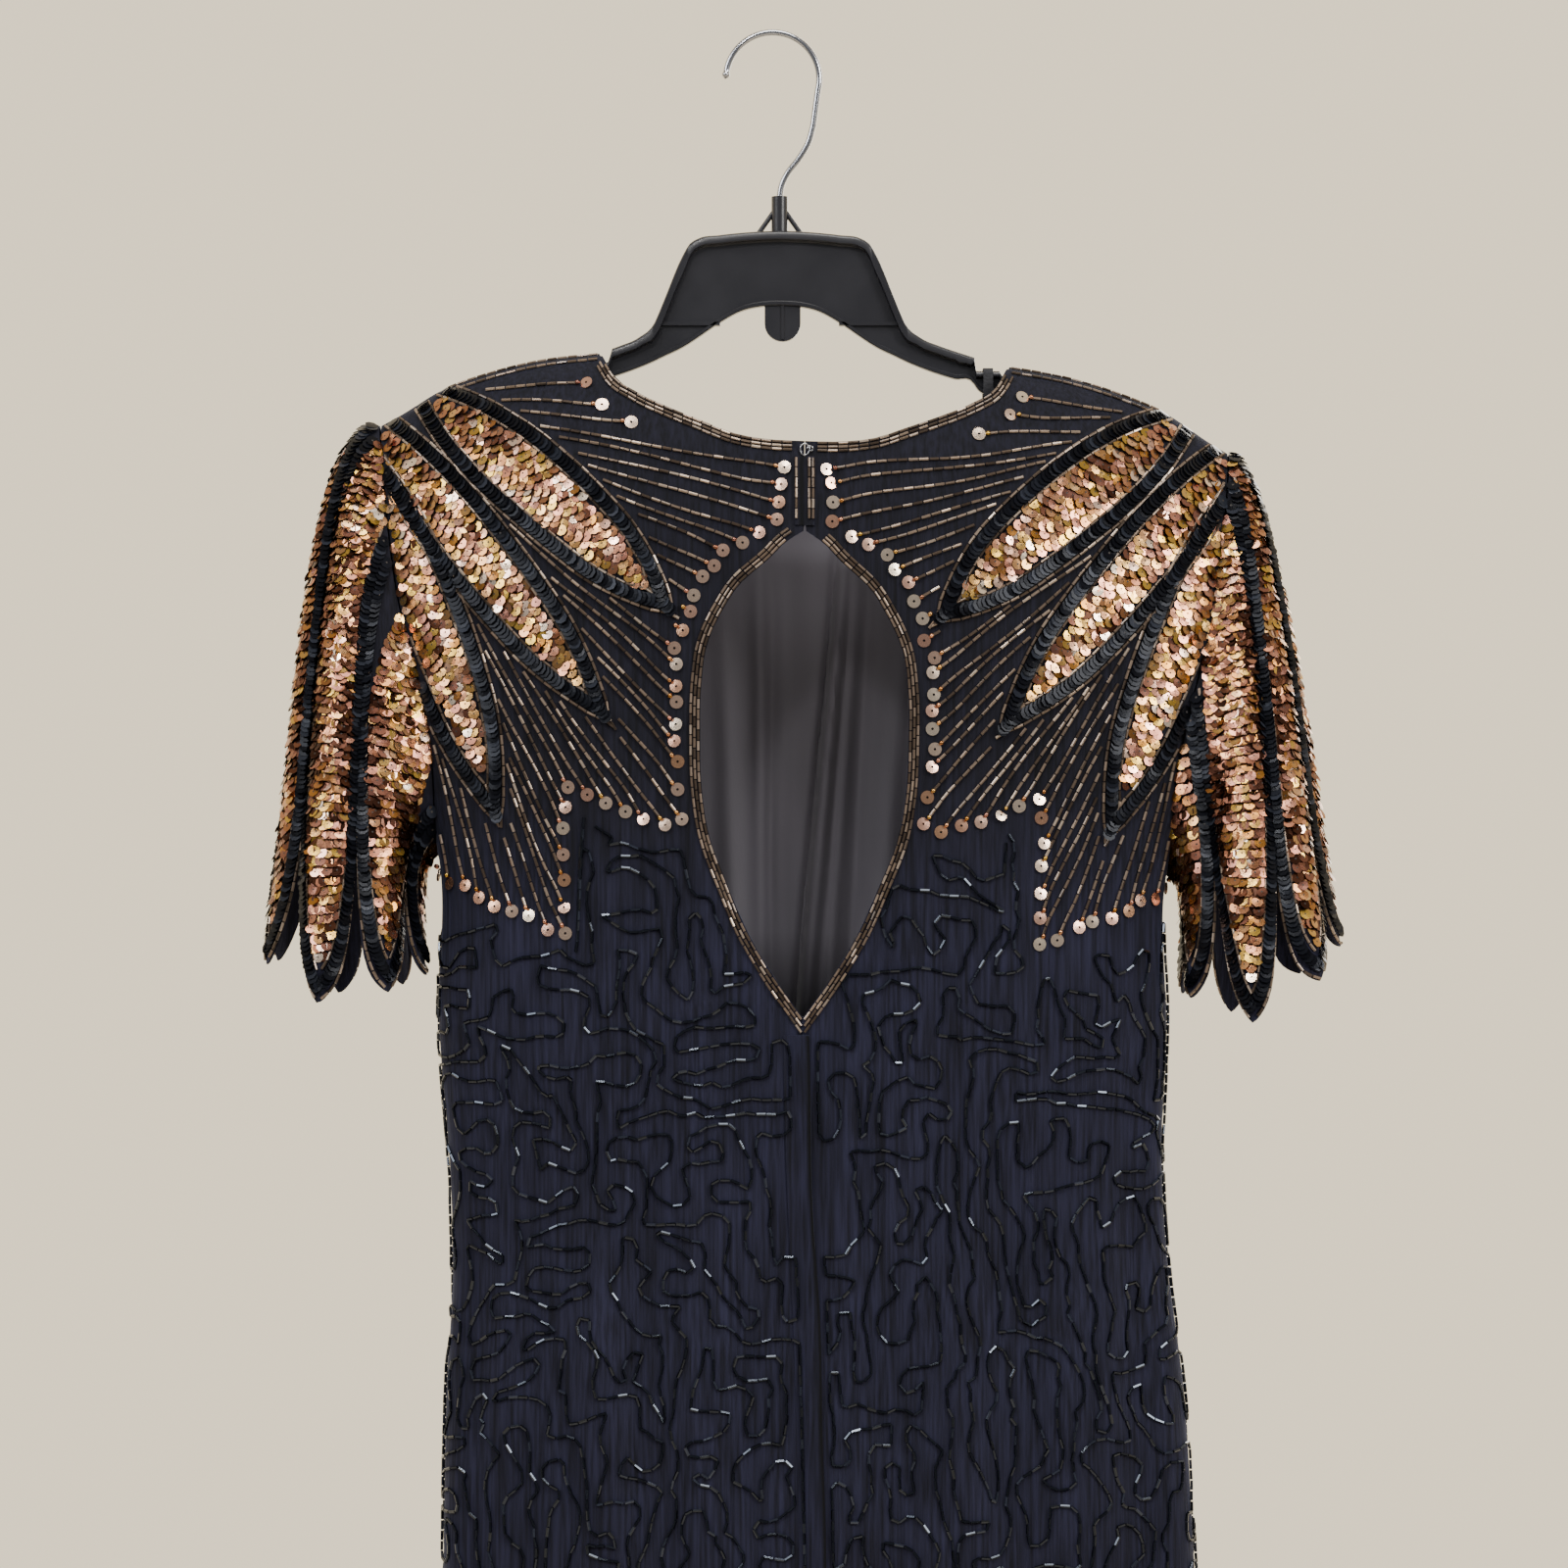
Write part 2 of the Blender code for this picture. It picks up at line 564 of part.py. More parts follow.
def make_closures():
    z = np.linspace(PLACKET_TOP_Z, PLACKET_FOOT_Z, 4)[:, None]
    strip_on_face("neck_placket", np.array([[-PLACKET_HALF, PLACKET_HALF]]), z, False, "crepe")
    z = np.linspace(ZIP_TOP_Z, ZIP_FOOT_Z, 12)[:, None]
    strip_on_face("zip_lap", np.array([[ZIP_LAP_LEFT, ZIP_LAP_RIGHT]]), z, False, "crepe")
    h = np.array([[-ZIP_TAPE_HALF, 0.0, ZIP_TAPE_HALF]])
    depth = face_depth(h, z, False) - WALL - 2 * SEAM
    outer = hang(h, -depth, z)
    inner = outer.copy()
    inner[..., 1] += ZIP_TAPE_WALL * MM
    wall_between("zip_tape", outer, inner, "ribbon")


def make_hook_and_eye():
    """A round wire eye at the neck edge, just above the placket."""
    seat = face_points(np.array(0.0), np.array(PLACKET_TOP_Z + EYE_ABOVE_PLACKET), False)
    ring = bpy.data.curves.new("neck_hook_and_eye", "CURVE")
    ring.dimensions = "3D"
    ring.bevel_depth = EYE_WIRE_RADIUS * MM
    ring.bevel_resolution = 1
    spline = ring.splines.new("POLY")
    spline.points.add(EYE_POINTS - 1)
    for number, point in enumerate(spline.points):
        turn = 2.0 * math.pi * number / EYE_POINTS
        x = seat[0] + EYE_HALF_WIDTH * MM * math.cos(turn)
        z = seat[2] + EYE_HALF_HEIGHT * MM * math.sin(turn)
        point.co = (x, seat[1] - EYE_RISE * MM, z, 1.0)
    spline.use_cyclic_u = True
    ring.materials.append(finish("steel"))
    made = bpy.data.objects.new("neck_hook_and_eye", ring)
    bpy.context.scene.collection.objects.link(made)


# Hanger

def shoulder_underside(x):
    """Top of the arm where the shoulder seam rests on it, and no limit inside the neck."""
    h = x - CENTRE_X
    if abs(h) < NECK_POINT_H - 4.0:
        return 0.0
    fall = (along(SHOULDER, abs(h) - 4.0) - along(SHOULDER, abs(h) + 4.0)) / 8.0
    relief = NECK_RELIEF * max(0.0, 1.0 - abs(abs(h) - NECK_POINT_H) / 10.0)
    return along(SHOULDER, abs(h)) - TILT * h - ARM_SEAT * math.hypot(1.0, fall + TILT) - relief


def arm_section(distance, side):
    """The I-shaped section of the hanger at a distance from its centre line."""
    x = HANGER_X + side * distance
    top = min(float(along(HANGER_ROWS, distance)), shoulder_underside(x))
    foot = float(along(HANGER_ROWS, distance, 2))
    if abs(x - CENTRE_X) > NECK_POINT_H:
        reach = float(smooth_step((distance - NOTCH[0]) / (HANGER_HALF_SPAN - NOTCH[0])))
        foot = top - ARM_HEIGHT_NECK + (ARM_HEIGHT_NECK - ARM_HEIGHT_TIP) * reach
    before = float(along(HANGER_ROWS, distance - SLOPE_STEP))
    after = float(along(HANGER_ROWS, distance + SLOPE_STEP))
    slope = (after - before) / (2.0 * SLOPE_STEP)
    flange = FLANGE_THICK * min(math.hypot(1.0, slope), STEEPEST_FLANGE)
    if NOTCH[0] - SLOPE_STEP < distance < NOTCH[1] + SLOPE_STEP:
        flange = NOTCH_FLANGE_THICK
    flange = min(flange, (top - foot) * 0.4)
    points = ((WEB_HALF, top - flange), (FLANGE_HALF, top - flange),
              (FLANGE_HALF, top - EDGE_CHAMFER), (TOP_FLAT_HALF, top),
              (-TOP_FLAT_HALF, top), (-FLANGE_HALF, top - EDGE_CHAMFER),
              (-FLANGE_HALF, top - flange), (-WEB_HALF, top - flange),
              (-WEB_HALF, foot + FOOT_FLANGE_THICK), (-FOOT_FLANGE_HALF, foot + FOOT_FLANGE_THICK),
              (-FOOT_FLANGE_HALF, foot), (FOOT_FLANGE_HALF, foot),
              (FOOT_FLANGE_HALF, foot + FOOT_FLANGE_THICK), (WEB_HALF, foot + FOOT_FLANGE_THICK))
    return [(x * MM, y * MM, z * MM) for y, z in points]


def make_hanger():
    distances = [row[0] for row in HANGER_ROWS]
    sections = [arm_section(distance, -1.0) for distance in reversed(distances)]
    sections += [arm_section(distance, 1.0) for distance in distances[1:]]
    size = len(sections[0])
    verts = [point for section in sections for point in section]
    faces = []
    for number in range(len(sections) - 1):
        for corner in range(size):
            near = number * size + corner
            far = number * size + (corner + 1) % size
            faces.append((near, far, far + size, near + size))
    last = (len(sections) - 1) * size
    faces.append(tuple(range(size)))
    faces.append(tuple(last + corner for corner in range(size)))
    body = solid_from_faces("hanger_body", verts, faces, "black_plastic", smooth=False)
    for tool in hanger_additions():
        combine(body, tool, "UNION")
    socket_top = (HANGER_X * MM, 0.0, (POST_TOP_Z + 1.0) * MM)
    socket_foot = (HANGER_X * MM, 0.0, (POST_TOP_Z - SOCKET_DEPTH) * MM)
    combine(body, rod("socket_cutter", socket_top, socket_foot, WIRE_RADIUS + SOCKET_CLEAR, 12),
            "DIFFERENCE")


def combine(body, tool, operation):
    tool.hide_render = True
    tool.display_type = "WIRE"
    cut = body.modifiers.new(tool.name, "BOOLEAN")
    cut.operation = operation
    cut.solver = "EXACT"
    cut.object = tool


def block(name, low, high):
    (x0, y0, z0), (x1, y1, z1) = low, high
    verts = [(x * MM, y * MM, z * MM) for x in (x0, x1) for y in (y0, y1) for z in (z0, z1)]
    faces = [(0, 1, 3, 2), (4, 5, 7, 6), (0, 1, 5, 4), (2, 3, 7, 6), (0, 2, 6, 4), (1, 3, 7, 5)]
    return solid_from_faces(name, verts, faces, "black_plastic", smooth=False)


def rod(name, start, end, radius, sides):
    """A plain rod between two points in metres."""
    start, end = np.array(start), np.array(end)
    axis = (end - start) / np.linalg.norm(end - start)
    side = np.cross(axis, (0.0, 1.0, 0.0))
    side = side / np.linalg.norm(side)
    other = np.cross(axis, side)
    turns = [2.0 * math.pi * number / sides for number in range(sides)]
    verts = []
    for centre in (start, end):
        for turn in turns:
            verts.append(centre + radius * MM * (side * math.cos(turn) + other * math.sin(turn)))
    faces = [tuple(range(sides)), tuple(range(sides, 2 * sides))]
    for number in range(sides):
        after = (number + 1) % sides
        faces.append((number, after, after + sides, number + sides))
    return solid_from_faces(name, verts, faces, "black_plastic", smooth=False)


def hanger_additions():
    """Post, struts, middle tab and cross ribs, moulded in one with the body."""
    post = rod("post", (HANGER_X * MM, 0.0, POST_TOP_Z * MM), (HANGER_X * MM, 0.0, POST_FOOT_Z * MM),
               POST_RADIUS, 16)
    tools = [post]
    for number, side in enumerate((-1.0, 1.0)):
        head, foot = [((HANGER_X + side * x) * MM, 0.0, z * MM) for x, z in STRUT]
        tools.append(rod(f"strut_{number}", head, foot, STRUT_RADIUS, 8))
        ends = sorted((HANGER_X + side * RIB_START, HANGER_X + side * RIB_END))
        tools.append(block(f"rib_{number}", (ends[0], -FOOT_FLANGE_HALF, RIB_Z - RIB_HALF_HEIGHT),
                           (ends[1], FOOT_FLANGE_HALF, RIB_Z + RIB_HALF_HEIGHT)))
    tools.append(middle_tab())
    return tools


def middle_tab():
    """The round-ended tab under the middle of the hanger."""
    outline = [(-TAB_HALF_WIDTH, TAB_TOP_Z), (TAB_HALF_WIDTH, TAB_TOP_Z)]
    turn_z = TAB_FOOT_Z + TAB_HALF_WIDTH
    for number in range(9):
        turn = math.pi * number / 8
        outline.append((TAB_HALF_WIDTH * math.cos(turn), turn_z - TAB_HALF_WIDTH * math.sin(turn)))
    verts = []
    for y in (-TAB_HALF_DEPTH, TAB_HALF_DEPTH):
        verts += [((HANGER_X + TAB_SHIFT + x) * MM, y * MM, z * MM) for x, z in outline]
    size = len(outline)
    faces = [tuple(range(size)), tuple(range(size, 2 * size))]
    for number in range(size):
        after = (number + 1) % size
        faces.append((number, after, after + size, number + size))
    return solid_from_faces("tab", verts, faces, "black_plastic", smooth=False)


def hook_route():
    """x, z along the wire: ball end, round, then the stem down into the post."""
    centre_z = WIRE_RADIUS - HOOK_RADIUS
    points = []
    turns = 19
    for number in range(turns):
        turn = math.radians(HOOK_START_DEG + (HOOK_END_DEG - HOOK_START_DEG) * number / (turns - 1))
        points.append((HOOK_CENTRE_X + HOOK_RADIUS * math.cos(turn),
                       centre_z + HOOK_RADIUS * math.sin(turn)))
    return points + list(HOOK_STEM)


def make_hook():
    wire = bpy.data.curves.new("hanger_hook", "CURVE")
    wire.dimensions = "3D"
    wire.bevel_depth = WIRE_RADIUS * MM
    wire.bevel_resolution = 2
    wire.use_fill_caps = True
    route = hook_route()
    spline = wire.splines.new("POLY")
    spline.points.add(len(route) - 1)
    for point, (x, z) in zip(spline.points, route):
        point.co = (x * MM, 0.0, z * MM, 1.0)
    wire.materials.append(finish("steel"))
    made = bpy.data.objects.new("hanger_hook", wire)
    bpy.context.scene.collection.objects.link(made)


def make_loops():
    """A flat ribbon ring in each notch of the hanger."""
    middle = (NOTCH[0] + NOTCH[1]) / 2.0
    for name, side in (("left", -1.0), ("right", 1.0)):
        section = arm_section(middle, side)
        heights = [point[2] / MM for point in section]
        top = max(heights) + LOOP_CLEAR
        foot = min(heights) - LOOP_CLEAR - LOOP_SAG
        half_depth = FLANGE_HALF + LOOP_CLEAR
        x0 = HANGER_X + side * middle - LOOP_WIDTH / 2.0
        verts = []
        for x in (x0, x0 + LOOP_WIDTH):
            for grow in (0.0, LOOP_WALL):
                for y, z in ((-1.0, top + grow), (1.0, top + grow), (1.0, foot - grow),
                             (-1.0, foot - grow)):
                    verts.append((x * MM, y * (half_depth + grow) * MM, z * MM))
        faces = []
        for corner in range(4):
            after = (corner + 1) % 4
            faces.append((corner, after, after + 8, corner + 8))
            faces.append((corner + 4, corner + 12, after + 12, after + 4))
            faces.append((corner, corner + 4, after + 4, after))
            faces.append((corner + 8, after + 8, after + 12, corner + 12))
        solid_from_faces(f"hanger_loop_{name}", verts, faces, "ribbon", smooth=False)


clear_scene()
make_body()
make_lining()
for sleeve, (which_side, petal_turn, head_puff, head_steep) in SLEEVES.items():
    make_sleeve(sleeve, which_side, petal_turn, head_puff, head_steep)
make_leaves()
make_bindings()
make_closures()
make_hook_and_eye()
make_hanger()
make_hook()
make_loops()
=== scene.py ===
"""A black beaded dress with gold petal sleeves, on its hanger, seen from the back."""

import math

import bpy
import numpy as np
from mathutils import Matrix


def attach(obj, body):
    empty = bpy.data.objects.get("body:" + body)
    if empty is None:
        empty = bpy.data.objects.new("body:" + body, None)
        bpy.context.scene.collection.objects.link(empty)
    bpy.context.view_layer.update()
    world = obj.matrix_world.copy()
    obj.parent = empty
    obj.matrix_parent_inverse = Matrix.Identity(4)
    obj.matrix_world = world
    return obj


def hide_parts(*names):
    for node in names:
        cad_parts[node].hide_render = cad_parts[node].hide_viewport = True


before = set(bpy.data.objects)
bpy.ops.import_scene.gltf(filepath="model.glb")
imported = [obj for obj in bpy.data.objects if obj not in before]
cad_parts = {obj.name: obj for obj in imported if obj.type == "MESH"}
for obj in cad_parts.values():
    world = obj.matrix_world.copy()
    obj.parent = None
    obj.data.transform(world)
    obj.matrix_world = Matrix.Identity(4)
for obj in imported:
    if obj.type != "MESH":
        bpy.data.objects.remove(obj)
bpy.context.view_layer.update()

# Back. Two halves of crinkled silk crepe on a fine net, beaded flat in the frame before they
# are cut; each has half of the keyhole, and they meet on the centre line. h is the distance
# from that line and z the height, in millimetres; the dress hangs a little aslant.
MM = 0.001
SEAM = 0.3
CREPE_THICK = 1.1
CENTRE_X = 17
TILT = 0.033
TILT_FULL_Z = -300
TILT_NONE_Z = -650
SWAY = ((-300, 0), (-560, 0), (-680, 5), (-790, 7.5), (-1164, 9))
UNDERARM_Z = -425
HEM_Z = -1164
NECK_POINT_H = 104.5
SHOULDER_TIP_H = 217.5
ROUNDING = 120
SECTION_POWER = 3
FOLD_GROWTH = 110
# h, z of the shoulder seam and of the neckline
SHOULDER = ((0, -158), (60, -161), (104.5, -167), (137, -172), (162, -179), (187, -189),
            (208, -202.5), (217.5, -208))
NECK_BACK = ((0, -211.5), (20, -211), (36, -208.5), (52, -202.5), (70, -195.5), (86, -188),
             (98, -179), (104.5, -167))
# z, h of the armhole edge
ARMHOLE = ((-208, 217.5), (-260, 212), (-300, 206), (-340, 196), (-375, 189.5), (-425, 187.5))
# z, half width, depth of the back, depth of the front
SECTIONS = ((-150, 240, 42, 38), (-208, 235, 44, 40), (-300, 222, 44, 43), (-380, 200, 43, 46),
            (-425, 187.5, 42, 45), (-510, 187, 40, 40), (-585, 183, 38, 36), (-635, 184, 39, 36),
            (-690, 189, 42, 37), (-785, 193, 45, 39), (-900, 196, 44, 39), (-1000, 199, 42, 38),
            (-1164, 203, 42, 38))
# z, half width of the keyhole
KEYHOLE = ((-257, 0.15), (-262, 8), (-272, 18), (-285, 32.5), (-298, 41), (-314, 48.5),
           (-336, 52), (-362, 52.5), (-388, 51.5), (-412, 47.5), (-436, 38.5), (-461, 27.5),
           (-485, 13), (-503, 0.15))
# Folds: h at the waist, h at the hem, z where it starts, depth, half width
BACK_FOLDS = ((172, 150, -455, 7, 9), (138, 128, -560, -2.6, 17), (104, 96, -520, 3, 14),
              (66, 60, -560, -2.4, 13), (38, 40, -600, 2.2, 11), (-34, -30, -560, 2.4, 12),
              (-80, -86, -530, 3, 14), (-108, -116, -580, -2.4, 13), (-140, -146, -520, 2.8, 13),
              (-172, -178, -560, 5, 8))
FRONT_FOLDS = ((160, 152, -540, 4.5, 11), (110, 118, -560, 3, 15), (64, 58, -600, -2.6, 15),
               (12, 4, -580, 3, 14), (-44, -40, -560, -2.4, 14), (-92, -98, -540, 3.2, 15),
               (-150, -156, -560, 4, 12))
# Crinkle ripples: waves to a metre across, waves to a metre down, height
RIPPLES = ((38, 1.3, 0.35), (61, -1.1, 0.28), (83, 2, 0.2), (27, -0.7, 0.4))
BACK_COLUMNS = 48
ROW_STEP = 4.5
ROW_GROWTH = 1.12


def smooth_step(x):
    x = np.clip(x, 0, 1)
    return x * x * (3 - 2 * x)


def along(rows, x, column=1):
    """The value in a column of a table at x, on a smooth curve through its rows."""
    table = np.array(sorted(rows))
    known, value = table[:, 0], table[:, column]
    slope = np.gradient(value, known)
    x = np.clip(x, known[0], known[-1])
    spot = np.clip(np.searchsorted(known, x) - 1, 0, len(known) - 2)
    span = known[spot + 1] - known[spot]
    t = (x - known[spot]) / span
    start = (2 * t - 3) * t * t + 1
    rise = (slope[spot] * ((t - 2) * t + 1) + slope[spot + 1] * (t - 1) * t) * t * span
    return start * value[spot] + (1 - start) * value[spot + 1] + rise


def half_width(z):
    return along(SECTIONS, z)


def armhole_h(z):
    """The outer edge of a panel: shoulder tip, armhole, then the side seam."""
    edge = along(ARMHOLE, np.maximum(z, UNDERARM_Z))
    return np.where(z < UNDERARM_Z, half_width(z), edge)


def fold_depth(h, z, folds):
    total = np.zeros(np.broadcast(h, z).shape)
    for waist_h, hem_h, start_z, depth, half in folds:
        down = np.clip((start_z - z) / (start_z - HEM_Z), 0, 1)
        centre = waist_h + (hem_h - waist_h) * down
        width = half * (1 + 0.5 * down)
        total = total + depth * smooth_step((start_z - z) / FOLD_GROWTH) * np.exp(
            -((h - centre) / width) ** 2)
    return total


def ripple(h, z):
    """Soft upright waves of the crinkled cloth."""
    total = np.zeros(np.broadcast(h, z).shape)
    for number, (across, down, height) in enumerate(RIPPLES):
        bend = 1.6 * np.sin(z * 0.011 * (1 + 0.3 * number) + number)
        total = total + height * np.sin((h * across + z * down) * 2 * np.pi * MM + bend)
    return total * smooth_step((-300 - z) / 200)


def face_depth(h, z, front):
    """How far the face stands out from the plane of the hanger."""
    depth = along(SECTIONS, z, 3 if front else 2)
    below = np.clip((along(SHOULDER, np.abs(h)) - z) / ROUNDING, 0, 1)
    swell = np.sqrt(np.maximum(1 - (1 - below) ** 2, 0))
    across = np.minimum(np.abs(h) / half_width(z), 1)
    section = np.maximum(1 - across ** SECTION_POWER, 0) ** (1 / SECTION_POWER)
    folds = fold_depth(h, z, FRONT_FOLDS if front else BACK_FOLDS) + ripple(h, z)
    return np.maximum(depth * swell * section - folds * (1 - across ** 8), 0) + SEAM / 2


def hang(h, y, z):
    """Points in metres, with the slant and drift of the hanging dress."""
    slant = TILT * h * smooth_step((z - TILT_NONE_Z) / (TILT_FULL_Z - TILT_NONE_Z))
    x = CENTRE_X + h + along(SWAY, z)
    return np.stack(np.broadcast_arrays(x, y, z - slant), axis=-1) * MM


def face_points(h, z, front):
    depth = face_depth(h, z, front)
    return hang(h, depth if front else -depth, z)


def unit(vectors):
    return vectors / np.maximum(np.linalg.norm(vectors, axis=-1, keepdims=True), 1e-12)


def face_normals(h, z, front, step=0.8):
    """Outward unit normals of the curved face, from its slopes."""
    across = face_points(h + step, z, front) - face_points(h - step, z, front)
    down = face_points(h, z - step, front) - face_points(h, z + step, front)
    normal = unit(np.cross(across, down))
    return normal if front else -normal


def grid_normals(points):
    return unit(np.cross(np.gradient(points, axis=1), np.gradient(points, axis=0)))


def add_mesh(name, verts, faces, slot, *materials):
    mesh = bpy.data.meshes.new(name)
    mesh.from_pydata(verts, [], faces)
    for material in materials:
        mesh.materials.append(material)
    mesh.shade_smooth()
    made = bpy.data.objects.new(name, mesh)
    bpy.context.scene.collection.objects.link(made)
    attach(made, "root")
    return made


def cloth_between(name, outer, inner, slot, material, wrap=False):
    """A closed thin wall between two grids of points."""
    rows, columns = outer.shape[:2]
    number = np.arange(rows * columns).reshape(rows, columns)
    if wrap:
        number = np.concatenate([number, number[:, :1]], axis=1)
    near, far = number[:-1, :-1].ravel(), number[:-1, 1:].ravel()
    low_near, low_far = number[1:, :-1].ravel(), number[1:, 1:].ravel()
    back = rows * columns
    faces = [np.stack([near, far, low_far, low_near], 1),
             np.stack([near, low_near, low_far, far], 1) + back]
    edges = [number[0], number[-1][::-1]]
    if not wrap:
        edges += [number[::-1, 0], number[:, -1]]
    for edge in edges:
        faces.append(np.stack([edge[1:], edge[:-1], edge[:-1] + back, edge[1:] + back], 1))
    verts = np.concatenate([outer.reshape(-1, 3), inner.reshape(-1, 3)])
    made = add_mesh(name, verts, np.concatenate(faces).tolist(), slot, material)
    made.data.set_sharp_from_angle(angle=math.radians(50))
    return made


def node_adder(tree):
    """A short way to add a node with its values and links."""
    def node(kind, **inputs):
        made = tree.nodes.new(kind)
        for key, value in inputs.items():
            socket = made.inputs[key.replace("_", " ")]
            if isinstance(value, bpy.types.NodeSocket):
                tree.links.new(value, socket)
            else:
                socket.default_value = value
        return made

    return node


def node_maker(name, colour, roughness, metallic=0, **sockets):
    """A material with its shader, and short ways to add and link nodes."""
    material = bpy.data.materials.new(name)
    material.use_nodes = True
    tree = material.node_tree
    shader = tree.nodes["Principled BSDF"]
    sockets.update(Base_Color=(*colour, 1), Roughness=roughness, Metallic=metallic)
    for key, value in sockets.items():
        shader.inputs[key.replace("_", " ")].default_value = value
    return material, shader, node_adder(tree), tree.links.new


def stretched_noise(node, squash, scale, detail=2):
    """Noise in the piece's own space, drawn out along z by a small third number."""
    place = node("ShaderNodeTexCoord").outputs["Object"]
    mapped = node("ShaderNodeMapping", Vector=place, Scale=squash).outputs["Vector"]
    return node("ShaderNodeTexNoise", Vector=mapped, Scale=scale, Detail=detail).outputs["Fac"]


def ramp(node, factor, *stops):
    """Colours at places along a factor."""
    made = node("ShaderNodeValToRGB", Fac=factor)
    points = made.color_ramp.elements
    while len(points) < len(stops):
        points.new(0.5)
    for point, (place, colour) in zip(points, stops):
        point.position = place
        point.color = (*colour, 1)
    return made.outputs["Color"]


def bump(node, height, strength, distance, before=None):
    made = node("ShaderNodeBump", Height=height, Strength=strength, Distance=distance)
    if before:
        made.id_data.links.new(before, made.inputs["Normal"])
    return made.outputs["Normal"]


def share_of_height(node, low, high):
    """0 below one height of the piece and 1 above the other, in metres."""
    place = node("ShaderNodeTexCoord").outputs["Object"]
    height = node("ShaderNodeSeparateXYZ", Vector=place).outputs["Z"]
    return node("ShaderNodeMapRange", Value=height, From_Min=low, From_Max=high).outputs["Result"]


def attribute(node, name):
    made = node("ShaderNodeAttribute")
    made.attribute_name = name
    return made.outputs["Fac"]


def multiplied(node, tint, *others):
    for other in others:
        mix = node("ShaderNodeMix")
        mix.data_type, mix.blend_type = "RGBA", "MULTIPLY"
        mix.inputs["Factor"].default_value = 1
        mix.id_data.links.new(tint, mix.inputs["A"])
        mix.id_data.links.new(other, mix.inputs["B"])
        tint = mix.outputs["Result"]
    return tint


def crepe_material(name):
    """Upright streaks of crinkle; painted shade over the yoke and a painted shadow at folded edges.
    """
    material, shader, node, link = node_maker(
        name, (0.02, 0.021, 0.03), 0.82, Sheen_Weight=0.13, Sheen_Roughness=0.45,
        Sheen_Tint=(0.5, 0.58, 0.95, 1), Specular_IOR_Level=0.2)
    streak = stretched_noise(node, (1, 1, 0.04), 560, 3)
    broad = stretched_noise(node, (1, 1, 0.16), 70, 2)
    pleat = stretched_noise(node, (1, 1, 0.03), 900, 2)
    tint = ramp(node, streak, (0.3, (0.0035, 0.0035, 0.0085)), (0.68, (0.0165, 0.017, 0.04)))
    shade = ramp(node, broad, (0.3, (0.72, 0.72, 0.74)), (0.7, (1.1, 1.1, 1.08)))
    # Painted shade: the crepe is darker above the foot of the yoke.
    painted_yoke_shade = ramp(node, share_of_height(node, -0.47, -0.38), (0, (1, 1, 1)),
                   (1, (0.5, 0.48, 0.42)))
    # Painted shadow: near black where a strip's edge folds back.
    shadow = ramp(node, attribute(node, "painted_edge_shadow"), (0, (1, 1, 1)),
                  (1, (0.04, 0.04, 0.05)))
    link(multiplied(node, tint, shade, painted_yoke_shade, shadow), shader.inputs["Base Color"])
    relief = bump(node, pleat, 0.4, 0.0005)
    link(bump(node, streak, 0.5, 0.0007, relief), shader.inputs["Normal"])
    return material


crepe = crepe_material("black_crinkled_crepe")


def keyhole_edge(z):
    inside = (z < KEYHOLE[0][0]) & (z > KEYHOLE[-1][0])
    return np.where(inside, np.maximum(along(KEYHOLE, z), SEAM / 2), SEAM / 2)


def panel_top(h, neck):
    return np.where(np.abs(h) > NECK_POINT_H, along(SHOULDER, np.abs(h)),
                    along(neck, np.abs(h)))


def panel_cloth(name, neck, shares, front, inner_edge):
    """The shell of one panel: rows follow the neck at the top and level out to the underarm."""
    top_z = neck[0][1]
    count = int((top_z - HEM_Z) / ROW_STEP)
    row_z = (top_z + (HEM_Z - top_z) * np.linspace(0, 1, count) ** ROW_GROWTH)[:, None]
    settle = np.clip((row_z - UNDERARM_Z) / (top_z - UNDERARM_Z), 0, 1)
    z = row_z + (panel_top(SHOULDER_TIP_H * shares, neck) - top_z) * settle
    inner_h = inner_edge(z)
    h = np.sign(shares) * (inner_h + (armhole_h(z) - inner_h) * np.abs(shares))
    outer = face_points(h, z, front)
    inner = outer - grid_normals(outer) * (1 if front else -1) * CREPE_THICK * MM
    limit = SEAM / 2 * MM
    inner[..., 1] = np.maximum(inner[..., 1], limit) if front else np.minimum(
        inner[..., 1], -limit)
    return cloth_between(name, outer, inner, "crepe", crepe)


def eased(count):
    """Shares from the centre line to the side, closer together near the side seam."""
    return np.linspace(0, 1, count) * (1.6 - 0.6 * np.linspace(0, 1, count))


back_shares = np.maximum(eased(BACK_COLUMNS), 1e-6)
for side, shares in (("left", -back_shares[::-1]), ("right", back_shares)):
    cloth = panel_cloth(f"back_{side}_cloth", NECK_BACK, shares[None, :], False, keyhole_edge)
    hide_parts(f"back_{side}")

# Front. One piece of the same crepe, beaded like the back before it is cut, with a lower round
# neck; it is sewn to the back along the shoulders and down both sides.
NECK_FRONT = ((0, -236), (25, -233.5), (50, -224), (70, -211), (88, -194.5), (98, -182),
              (104.5, -167))
FRONT_COLUMNS = 44


def no_edge(z):
    return np.zeros_like(z)


front_half = eased(FRONT_COLUMNS)
front_shares = np.concatenate([-front_half[:0:-1], front_half])
front_cloth = panel_cloth("front_cloth", NECK_FRONT, front_shares[None, :], True, no_edge)
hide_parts("front")

# Front lining, of charcoal satin, caught at the front neck and loose below. It shows through
# the keyhole, where it hangs in long upright folds.
LINING_TOP_HALF = 205
LINING_FOOT_Z = -1120
LINING_ROWS = 70
LINING_COLUMNS = 130
